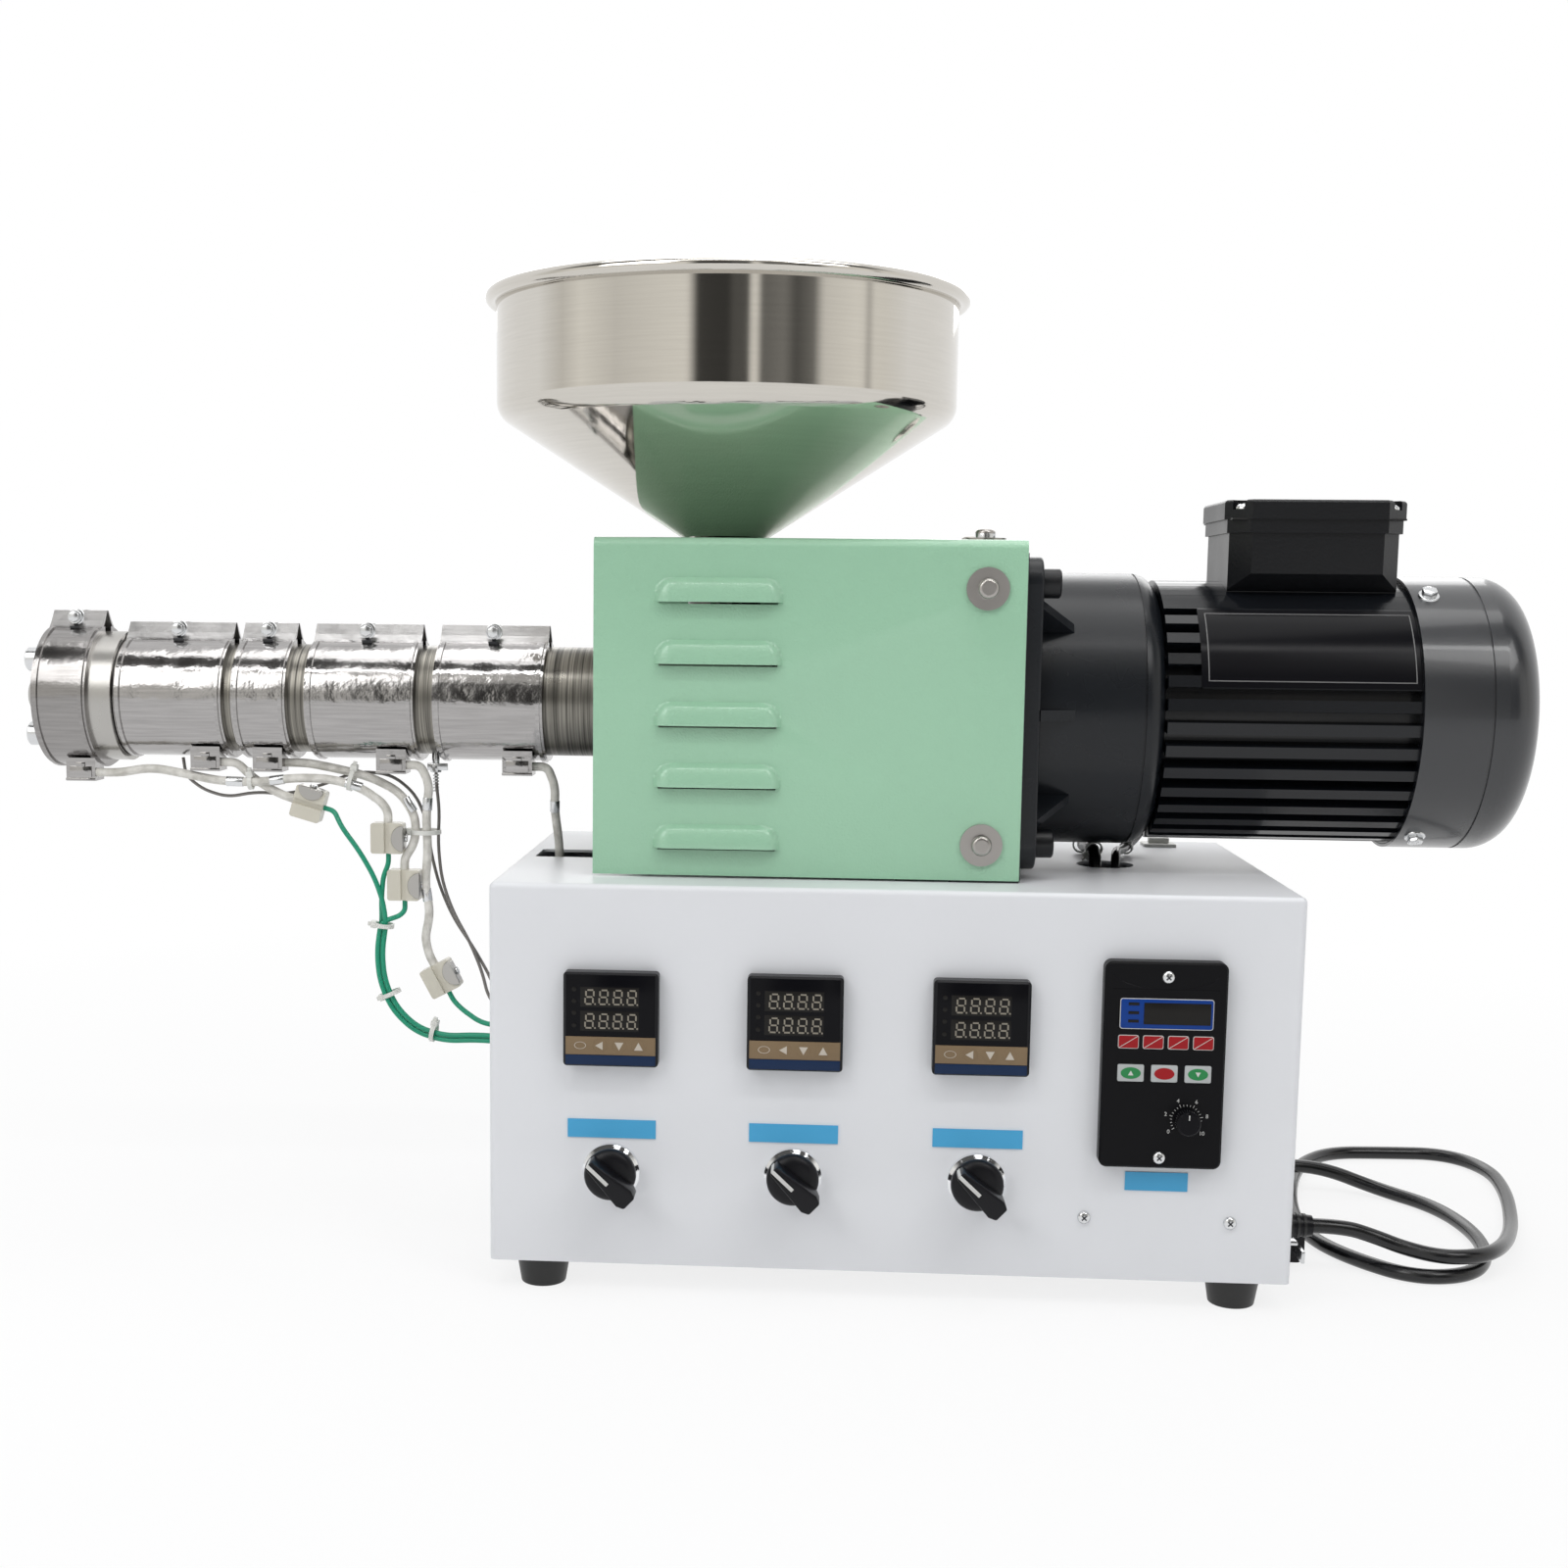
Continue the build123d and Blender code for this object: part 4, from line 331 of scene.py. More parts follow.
FAN_PLASTIC = Finish("fan_plastic", (0.02, 0.02, 0.022))


class Layout:
    """Turns layout millimetres into metres of the shared frame."""

    corner: ClassVar[Vector] = Vector((0, 0, 0))

    @classmethod
    def find(cls) -> None:
        """Take the cabinet's low corner as the layout's zero in X and Y."""
        low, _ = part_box("cabinet_shell")
        cls.corner = Vector((low[0], low[1], 0))

    @classmethod
    def matrix(cls) -> Matrix:
        """Give the matrix from layout millimetres to frame metres."""
        return Matrix.Translation(cls.corner) @ Matrix.Scale(0.001, 4)

    @classmethod
    def point(cls, place: Point) -> Vector:
        """Give one layout point in frame metres."""
        return cls.matrix() @ Vector(place)


def link_object(name: str, data: bpy.types.ID) -> bpy.types.Object:
    """Make an object and link it to the scene.

    Args:
        name: Its name.
        data: Its mesh, curve, lamp or camera.

    Returns:
        The new object.
    """
    made = bpy.data.objects.new(name, data)
    bpy.context.scene.collection.objects.link(made)
    return made


def tilt(degrees: float, axis: str = "Y") -> Matrix:
    """Give a turn about an axis through the origin."""
    return Matrix.Rotation(math.radians(degrees), 4, axis)


def aim(start: Point, end: Point) -> Matrix:
    """Give the matrix that stands Z along the line from start to end, centred on it."""
    a, b = Vector(start), Vector(end)
    return Matrix.Translation((a + b) / 2) @ Vector(UPWARDS).rotation_difference(b - a).to_matrix().to_4x4()


class Stock:
    """A mesh under work, in layout millimetres, shaped by bmesh operators."""

    def __init__(self) -> None:
        """Start with an empty mesh."""
        self.bm = bmesh.new()

    def _bevel(self, edges: list[bmesh.types.BMEdge], size: float, steps: int) -> None:
        """Round some edges.

        Args:
            edges: The edges.
            size: Width of the rounding.
            steps: Its segments.
        """
        bmesh.ops.bevel(
            self.bm, geom=edges, offset=size, offset_type="OFFSET", segments=steps, profile=0.5,
            affect="EDGES", material=-1, clamp_overlap=True,
        )

    def _soften(self, verts: Iterable[bmesh.types.BMVert], size: float, steps: int, corner: float) -> None:
        """Round the sharp edges of newly made vertices.

        Args:
            verts: The new vertices.
            size: Width of the rounding, or 0 for none.
            steps: Its segments.
            corner: Angle in degrees from which an edge is sharp.
        """
        if size <= 0:
            return
        self.bm.normal_update()
        edges = {e for v in verts for e in v.link_edges if len(e.link_faces) == 2}
        self._bevel([e for e in edges if e.calc_face_angle(0) > math.radians(corner)], size, steps)

    def move(self, matrix: Matrix) -> "Stock":
        """Move and turn all that is in the stock."""
        self.bm.transform(matrix)
        return self

    def take(self, other: "Stock") -> None:
        """Add all that is in another stock.

        Args:
            other: The other stock, which is used up.
        """
        mesh = bpy.data.meshes.new("taken")
        other.bm.to_mesh(mesh)
        other.bm.free()
        self.bm.from_mesh(mesh)
        bpy.data.meshes.remove(mesh)

    def block(
        self, centre: Point, size: Point, bevel: float = 0.0, steps: int = 2, turn: Matrix | None = None
    ) -> "Stock":
        """Add a rectangular block.

        Args:
            centre: Its middle.
            size: Its three sizes.
            bevel: Width of its edge rounding.
            steps: Segments of the rounding.
            turn: Turn about its middle.

        Returns:
            This stock.
        """
        matrix = Matrix.Translation(centre) @ (turn or Matrix.Identity(4)) @ Matrix.Diagonal((*size, 1))
        made = bmesh.ops.create_cube(self.bm, size=1, matrix=matrix)
        self._soften(made["verts"], bevel, steps, 40)
        return self

    def tile(self, centre: Point, size: Point, corner: float, edge: float) -> "Stock":
        """Add a plate that faces the front, with rounded corners.

        Args:
            centre: Its middle.
            size: Its three sizes.
            corner: Radius of its four corners.
            edge: Rounding of its front and rear edges.

        Returns:
            This stock.
        """
        before = set(self.bm.verts)
        self.block(centre, size)
        edges = {e for v in self.bm.verts if v not in before for e in v.link_edges}
        across = [e for e in edges if abs((e.verts[0].co - e.verts[1].co).normalized().y) > 0.9]
        self._bevel(across, corner, 5)
        self._soften([v for v in self.bm.verts if v not in before], edge, 2, 60)
        return self

    def bar(
        self, start: Point, end: Point, radius: float, tip: float | None = None, sides: int = 32,
        bevel: float = 0.0,
    ) -> "Stock":
        """Add a round bar, cone or prism between two points.

        Args:
            start: Middle of its first end.
            end: Middle of its other end.
            radius: Radius at the first end.
            tip: Radius at the other end, where it differs.
            sides: Sides of its section.
            bevel: Width of the rounding on its end edges.

        Returns:
            This stock.
        """
        made = bmesh.ops.create_cone(
            self.bm, cap_ends=True, cap_tris=False, segments=sides, radius1=radius,
            radius2=radius if tip is None else tip, depth=math.dist(start, end), matrix=aim(start, end),
        )
        self._soften(made["verts"], bevel, 2, 50)
        return self

    def lathe(self, profile: Sequence[Pair], centre: Point, axis: Point, steps: int) -> "Stock":
        """Add a turned form.

        Args:
            profile: Points of distance along the axis and radius; it ends on the axis or closes itself.
            centre: Zero of the distances.
            axis: Direction of the axis.
            steps: Steps of the full turn.

        Returns:
            This stock.
        """
        along = Vector(axis).normalized()
        side = along.orthogonal().normalized()
        verts = [self.bm.verts.new(Vector(centre) + along * d + side * r) for d, r in profile]
        pairs = list(zip(verts, verts[1:]))
        if profile[0][1] > 0 and profile[-1][1] > 0:
            pairs.append((verts[-1], verts[0]))
        edges = [self.bm.edges.new(pair) for pair in pairs]
        bmesh.ops.spin(
            self.bm, geom=verts + edges, cent=Vector(centre), axis=along, angle=math.tau, steps=steps,
            use_merge=True, use_duplicate=False,
        )
        bmesh.ops.remove_doubles(self.bm, verts=self.bm.verts[:], dist=1e-4)
        return self

    def outline(self, points: Sequence[Point], push: Point, bevel: float = 0.0, steps: int = 2) -> "Stock":
        """Add a flat outline pushed into a solid.

        Args:
            points: Corners of the outline, in order.
            push: How far and which way it is pushed.
            bevel: Width of the rounding on its sharp edges.
            steps: Segments of the rounding.

        Returns:
            This stock.
        """
        face = self.bm.faces.new([self.bm.verts.new(Vector(p)) for p in points])
        grown = bmesh.ops.extrude_face_region(self.bm, geom=[face])
        top = [v for v in grown["geom"] if isinstance(v, bmesh.types.BMVert)]
        bmesh.ops.translate(self.bm, verts=top, vec=Vector(push))
        verts = set(top) | {v for f in self.bm.faces for v in f.verts if any(w in top for w in f.verts)}
        bmesh.ops.recalc_face_normals(self.bm, faces=self.bm.faces[:])
        self._soften(verts, bevel, steps, 50)
        return self

    def ring(self, centre: Point, axis: Point, radius: float, band: float, width: float) -> "Stock":
        """Add a flat band that goes round an axis.

        Args:
            centre: Middle of the band.
            axis: Direction that it goes round.
            radius: Its inner radius.
            band: Its thickness.
            width: Its width along the axis.

        Returns:
            This stock.
        """
        half = width / 2
        profile = [(-half, radius), (-half, radius + band), (half, radius + band), (half, radius)]
        return self.lathe(profile, centre, axis, 24)

    def finish(self, name: str, look: Finish, body: str = "machine", sharp: float = 38.0) -> bpy.types.Object:
        """Turn the stock into a finished piece that rides on a body.

        Args:
            name: Name of the piece.
            look: Its finish.
            body: The body that carries it.
            sharp: Angle in degrees from which edges stay sharp.

        Returns:
            The object of the piece.
        """
        bmesh.ops.recalc_face_normals(self.bm, faces=self.bm.faces[:])
        self.move(Layout.matrix())
        mesh = bpy.data.meshes.new(name)
        self.bm.to_mesh(mesh)
        self.bm.free()
        mesh.polygons.foreach_set("use_smooth", [True] * len(mesh.polygons))
        mesh.set_sharp_from_angle(angle=math.radians(sharp))
        mesh.materials.append(look.material())
        made = link_object(name, mesh)
        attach(made, body)
        LOG.info("piece %s: %d faces on %s", name, len(mesh.polygons), body)
        return made


def pan_screw(name: str, place: Point, out: Point, radius: float) -> None:
    """Add a pan-head screw with a cross recess, shown as a dark cross of painted shade.

    Args:
        name: Name of the piece.
        place: Where the head's underside sits.
        out: Direction in which the head points.
        radius: Radius of the head.
    """
    along = Vector(out)
    side = along.orthogonal().normalized()
    rise = radius * 0.62
    dome = [(0, 0), (0, 1), (0.45, 0.98), (0.8, 0.76), (1, 0.42), (1, 0)]
    Stock().lathe([(rise * d, radius * r) for d, r in dome], place, out, 28).finish(name, ZINC, sharp=60)
    centre = Vector(place) + along * rise
    turn = Matrix((side, along.cross(side), along)).transposed().to_4x4()
    # The dark cross is painted shade in place of the recess's depth.
    cross = Stock()
    long, short, deep = radius, radius * 0.24, 0.24
    cross.block(centre, (long, short, deep), 0.05, 1, turn).block(centre, (short, long, deep), 0.05, 1, turn)
    cross.finish(f"{name}_recess_shade", DARK_STEEL_AND_RECESS_SHADE)


def numeral(number: int, middle: Point, height: float) -> None:
    """Print one plain number on the speed controller.

    Args:
        number: The number.
        middle: Its middle.
        height: Its height.
    """
    name = f"speed_number_{number}"
    curve = bpy.data.curves.new(name, "FONT")
    curve.body = str(number)
    curve.size = height * 1.4
    curve.extrude = 0.06
    curve.align_x = curve.align_y = "CENTER"
    helper = link_object(f"{name}_text", curve)
    bpy.context.view_layer.update()
    mesh = bpy.data.meshes.new_from_object(helper.evaluated_get(bpy.context.evaluated_depsgraph_get()))
    bpy.data.objects.remove(helper)
    mesh.transform(Layout.matrix() @ Matrix.Translation(middle) @ tilt(90, "X"))
    mesh.name = name
    mesh.materials.clear()
    mesh.materials.append(PALE_PRINT.material())
    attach(link_object(name, mesh), "machine")
    LOG.info("piece %s: a printed number", name)


class Assembly:
    """A sub-assembly of the machine."""

    looks: ClassVar[dict[str, Finish]] = {}  # The finish of each of its CAD nodes
    nodes: ClassVar[dict[str, bpy.types.Object]] = {}  # All CAD nodes by name

    def build(self) -> None:
        """Give each CAD node its finish in all its slots, then add the other pieces."""
        for name, look in self.looks.items():
            slots = self.nodes[name].data.materials
            if not slots:
                slots.append(look.material())
            for i in range(len(slots)):
                slots[i] = look.material()
            LOG.info("node %s: %s", name, look.name)
        self.add_pieces()

    def add_pieces(self) -> None:
        """Add nothing, where the CAD nodes are all there is."""


@dataclass
class Studio:
    """Camera, floor, backdrop and lights."""

    eye: Point = (170.467, -974.949, 352.282)  # The camera's place
    sensor: float = 36.0  # Width of its sensor
    lens: float = 45.323  # Its focal length
    shift: Pair = (0.0549, 0.0441)  # Its shift in x and y
    pitch: float = -0.126331  # Its tilt above the horizon, in radians
    yaw: float = -0.066449  # Its turn from straight ahead, in radians
    roll: float = 0.010034  # Its roll, in radians
    ambient: float = 0.38  # Strength of the even light from all sides
    middle: Point = (130, 115, 250)  # What the lamps face
    shadow: Pair = (0.45, 1.1)  # Distances in metres over which the shadow on the floor fades
    shade: float = 0.82  # Share of plain white in the floor up to the first of them
    steep: Pair = (0.34, 0.62)  # Slopes of a direction over which the heights replace the walls
    behind: Pair = (-0.10, 0.20)  # Depths of a direction over which white replaces the room
    warmth: Colour = (1.02, 1, 0.95)  # Tint of the greys of the room
    # Name, place, width and height in metres, and power in watts of each soft box
    lamps: tuple[tuple[str, Point, Pair, float], ...] = (
        ("key", (-1100, -1300, 1500), (1.2, 1), 11),
        ("fill", (1500, -1100, 1900), (1, 0.7), 7.5),
        ("strip", (150, -900, 1900), (2.4, 0.12), 8),
        ("top", (150, 150, 2000), (1.8, 1.2), 15),
        ("rear", (300, 1700, 1100), (1.6, 0.8), 8),
    )
    # Greys that polished pieces reflect by degrees to the right of the camera's side
    walls: tuple[Pair, ...] = (
        (-180, 0.85), (-110, 0.72), (-84, 0.74), (-72, 0.95), (-52, 0.76), (-30, 0.88),
        (-16, 0.94), (-11, 0.06), (3.5, 0.05), (6, 0.11), (13, 0.10), (14.5, 0.95), (17.5, 0.9),
        (19, 0.16), (30, 0.24), (36, 0.10), (45, 0.20), (50, 0.80), (68, 0.95), (72, 0.92),
        (75, 0.5), (78, 0.92), (110, 0.8), (180, 0.9),
    )
    # Greys that they reflect by degrees above the camera's side
    heights: tuple[Pair, ...] = (
        (-180, 1), (-60, 0.7), (-20, 0.6), (-8, 0.30), (14, 0.20), (34, 0.16), (40, 0.70),
        (50, 0.75), (58, 0.10), (86, 0.07), (98, 0.8), (180, 1),
    )

    def camera(self) -> None:
        """Place the camera where the photograph was taken from."""
        data = bpy.data.cameras.new("camera")
        data.sensor_width = self.sensor
        data.lens = self.lens
        data.shift_x, data.shift_y = self.shift
        data.clip_start, data.clip_end = 0.05, 50.0
        (cp, sp), (cy, sy), (cr, sr) = ((math.cos(a), math.sin(a)) for a in (self.pitch, self.yaw, self.roll))
        ahead = Vector((sy * cp, cy * cp, sp))
        right = Vector((cy, -sy, 0))
        above = Vector((-sy * sp, -cy * sp, cp))
        turn = Matrix((right * cr + above * sr, above * cr - right * sr, -ahead)).transposed()
        made = link_object("camera", data)
        made.matrix_world = Matrix.Translation(Layout.point(self.eye)) @ turn.to_4x4()
        bpy.context.scene.camera = made

    def _floor_look(self) -> bpy.types.Material:
        """Make the pale floor: white to the lens, with the machine's soft shadow near it.

        Returns:
            The floor's material.
        """
        made = bpy.data.materials.new("pale_floor")
        made.use_nodes = True
        link = NodeLink(made.node_tree)
        link.tree.nodes.clear()
        place = link.add("ShaderNodeTexCoord").outputs["Object"]
        noise = link.add("ShaderNodeTexNoise", {"Vector": place, "Scale": 3.0}).outputs[0]
        tone = link.blend(noise, (0.86, 0.86, 0.87), (0.88, 0.88, 0.88))
        matt = link.add("ShaderNodeBsdfDiffuse", {"Color": tone}).outputs[0]
        glow = link.add("ShaderNodeEmission", {"Color": (*PURE_WHITE, 1), "Strength": 1.0}).outputs[0]
        ray = link.add("ShaderNodeLightPath").outputs
        seen = link.sum("MAXIMUM", ray["Is Camera Ray"], ray["Is Glossy Ray"])
        seen = link.sum("MAXIMUM", seen, ray["Is Transmission Ray"])
        away = link.add("ShaderNodeVectorMath", {0: place}, operation="LENGTH").outputs["Value"]
        share = link.sum("MULTIPLY", seen, link.remap(away, *self.shadow, self.shade, 1))
        mixed = link.add("ShaderNodeMixShader", {0: share, 1: matt, 2: glow}).outputs[0]
        link.add("ShaderNodeOutputMaterial", {"Surface": mixed})
        return made

    def floor(self) -> None:
        """Lay the floor, a wide disc with no edge in view."""
        shape = bmesh.new()
        bmesh.ops.create_circle(shape, cap_ends=True, segments=96, radius=14)
        mesh = bpy.data.meshes.new("floor")
        shape.to_mesh(mesh)
        shape.free()
        mesh.materials.append(self._floor_look())
        link_object("floor", mesh)

    def _greys(self, link: NodeLink, angle: Socket, stops: Sequence[Pair]) -> Socket:
        """Give a grey by angle.

        Args:
            link: The tree to work in.
            angle: The angle in radians, from minus to plus half a turn.
            stops: Angles in degrees with their greys.

        Returns:
            The grey, a little warm.
        """
        ramp = link.add("ShaderNodeValToRGB", {0: link.remap(angle, -math.pi, math.pi)})
        elements = ramp.color_ramp.elements
        while len(elements) < len(stops):
            elements.new(0.5)
        for element, (degrees, grey) in zip(elements, stops):
            element.position = (degrees + 180) / 360.0
            element.color = (*(grey * part for part in self.warmth), 1)
        return ramp.outputs[0]

    def _reflected(self, link: NodeLink) -> Socket:
        """Give the colour that polished pieces reflect: a dim room in front, white behind.

        Args:
            link: The world's tree.

        Returns:
            The colour by direction.
        """
        place = link.add("ShaderNodeTexCoord").outputs["Generated"]
        way = link.add("ShaderNodeSeparateXYZ", {0: place}).outputs
        front = link.sum("MULTIPLY", way["Y"], -1)
        walls = self._greys(link, link.sum("ARCTAN2", way["X"], front), self.walls)
        heights = self._greys(link, link.sum("ARCTAN2", way["Z"], front), self.heights)
        room = link.blend(link.remap(link.sum("ABSOLUTE", way["Z"]), *self.steep), walls, heights)
        return link.blend(link.remap(way["Y"], *self.behind), room, PURE_WHITE)

    def world(self) -> None:
        """Surround the machine with a pale, even light and what its metal reflects."""
        made = bpy.data.worlds.new("studio")
        bpy.context.scene.world = made
        made.use_nodes = True
        link = NodeLink(made.node_tree)
        link.tree.nodes.clear()
        glossy, lit, white = (
            link.add("ShaderNodeBackground", {"Color": colour, "Strength": power}).outputs[0]
            for colour, power in (
                (self._reflected(link), 1), ((0.98, 0.99, 1, 1), self.ambient), ((*PURE_WHITE, 1), 1)
            )
        )
        ray = link.add("ShaderNodeLightPath").outputs
        mirror = link.sum("MAXIMUM", ray["Is Glossy Ray"], ray["Is Transmission Ray"])
        first = link.add("ShaderNodeMixShader", {0: mirror, 1: lit, 2: glossy}).outputs[0]
        last = link.add("ShaderNodeMixShader", {0: ray["Is Camera Ray"], 1: first, 2: white}).outputs[0]
        link.add("ShaderNodeOutputWorld", {"Surface": last})

    def lamp(self, name: str, place: Point, size: Pair, power: float) -> None:
        """Hang one soft box that faces the machine.

        Args:
            name: Its name.
            place: Where it hangs.
            size: Its width and height in metres.
            power: Its power in watts.
        """
        data = bpy.data.lights.new(name, "AREA")
        data.shape = "RECTANGLE"
        data.size, data.size_y = size
        data.energy = power
        start, end = Layout.point(place), Layout.point(self.middle)
        turn = (start - end).to_track_quat("Z", "Y").to_matrix().to_4x4()
        link_object(name, data).matrix_world = Matrix.Translation(start) @ turn

    def build(self) -> None:
        """Set the view, the floor and the lights."""
        bpy.context.scene.view_settings.view_transform = "Standard"
        self.camera()
        self.floor()
        self.world()
        for name, place, size, power in self.lamps:
            self.lamp(name, place, size, power)


@dataclass
class PowerCord(Assembly):
    """The machine's own mains cord with its gland and plug, lying beside it."""

    looks = {"power_plug": PLASTIC, "cord_gland": PLASTIC}
    radius: float = 4.0  # Radius of the cord
    length: float = 1.045  # Its length in metres, from the gland's sleeve to the plug
    # Points that its line follows
    route: tuple[Point, ...] = (
        (431, 64, 26), (448, 64, 26), (464, 65, 21), (479.5, 61, 16), (496, 53, 14.5),
        (514.5, 55, 14.5), (530, 69, 13.5), (549, 107, 8.5), (567, 156, 4.1), (582, 211, 4.1),
        (588, 260, 4.1), (571, 294, 4.1), (531, 293, 4.1), (497, 290, 4.1), (473, 264, 4.1),
        (460, 231, 4.1), (449, 190, 4.1), (442, 148, 4.1), (442.5, 110, 4.1), (457, 77, 4.1),
        (482, 49, 4.1), (514, 56, 4.1), (532, 88, 4.1), (538, 132, 4.1), (530, 178, 4.1),
        (506, 210, 4.1), (474, 222, 13.8), (444, 222, 13.8), (424, 203, 6), (417, 177, 6),
        (420.5, 148, 11.5), (420.5, 122, 11.5),
    )
    # Middle and size of each pin of the plug
    pins: tuple[tuple[Point, Point], ...] = (
        ((414.1, 70.4, 9), (2, 18.8, 6.8)), ((426.9, 70.4, 9), (2, 18.8, 6.8)),
        ((420.5, 70.4, 16.5), (6.8, 18.8, 2)),
    )
    # First middle, step, number, first radius, taper and width of the rings on the sleeves
    ridges: tuple[tuple[Point, Point, int, float, float, float], ...] = (
        ((420.5, 109, 11.5), (0, 3, 0), 4, 8.1, 0.6, 1.3),
        ((412.5, 64, 26), (3.6, 0, 0), 5, 7.2, 0.34, 1.5),
    )

    def _lay(self) -> bpy.types.Object:
        """Lay the cord as a smooth curve.

        Returns:
            The cord's object.
        """
        curve = bpy.data.curves.new("mains_cord", "CURVE")
        curve.dimensions = "3D"
        curve.bevel_depth = self.radius / 1000.0
        curve.bevel_resolution = 6
        curve.resolution_u = 10
        curve.use_fill_caps = True
        spline = curve.splines.new("NURBS")
        spline.points.add(len(self.route) - 1)
        for point, place in zip(spline.points, self.route):
            point.co = (*Layout.point(place), 1)
        spline.order_u = 3
        spline.use_endpoint_u = True
        curve.materials.append(CABLE.material())
        return link_object("mains_cord", curve)

    def add_pieces(self) -> None:
        """Lay the cord, then add the plug's pins and the ridges of the sleeves."""
        cord = self._lay()
        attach(cord, "machine")
        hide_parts("power_cord")
        Layout.point(self.route[0])
        pins, rings = Stock(), Stock()
        for middle, size in self.pins:
            pins.block(middle, size, 0.6)
        pins.finish("plug_pins", ZINC)
        for first, step, count, radius, taper, width in self.ridges:
            for i in range(count):
                rings.ring(Vector(first) + Vector(step) * i, step, radius - taper * i, 0.55, width)
        rings.finish("cord_sleeve_ridges", RUBBER)


@dataclass
class Cabinet(Assembly):
    """The white control cabinet on its rubber feet."""

    looks = {"cabinet_shell": WHITE, "cabinet_base": WHITE, "rubber_feet": RUBBER}
    width: float = 406.0
    depth: float = 230.0
    panel_screws: tuple[Pair, ...] = ((302.3, 46.9), (374.8, 46.1))  # X and Z of the screws in the panel
    # X and Z of the screws in the rear
    rear_screws: tuple[Pair, ...] = ((14, 28), (392, 28), (14, 198), (392, 198))
    side_screw: Pair = (92, 24)  # Y and Z of the screw in the right side
    grommet: Point = (0.4, 88, 116.5)  # Middle of the rubber rim in the left side
    # Section of that rim, as distance outwards and radius
    rim: tuple[Pair, ...] = ((-1.4, 10.9), (1.9, 10.9), (2.3, 10), (1.9, 9.4), (-1.4, 9.6))

    def add_pieces(self) -> None:
        """Add the screws and the rubber rim for the harness."""
        for i, (x, z) in enumerate(self.panel_screws):
            pan_screw(f"panel_screw_{i + 1}", (x, 0, z), TO_FRONT, 3.3)
        for i, (x, z) in enumerate(self.rear_screws):
            pan_screw(f"rear_screw_{i + 1}", (x, self.depth, z), TO_REAR, 3)
        pan_screw("side_screw", (self.width, *self.side_screw), TO_RIGHT, 2.8)
        Stock().lathe(self.rim, self.grommet, TO_LEFT, 40).finish("harness_grommet", RUBBER)


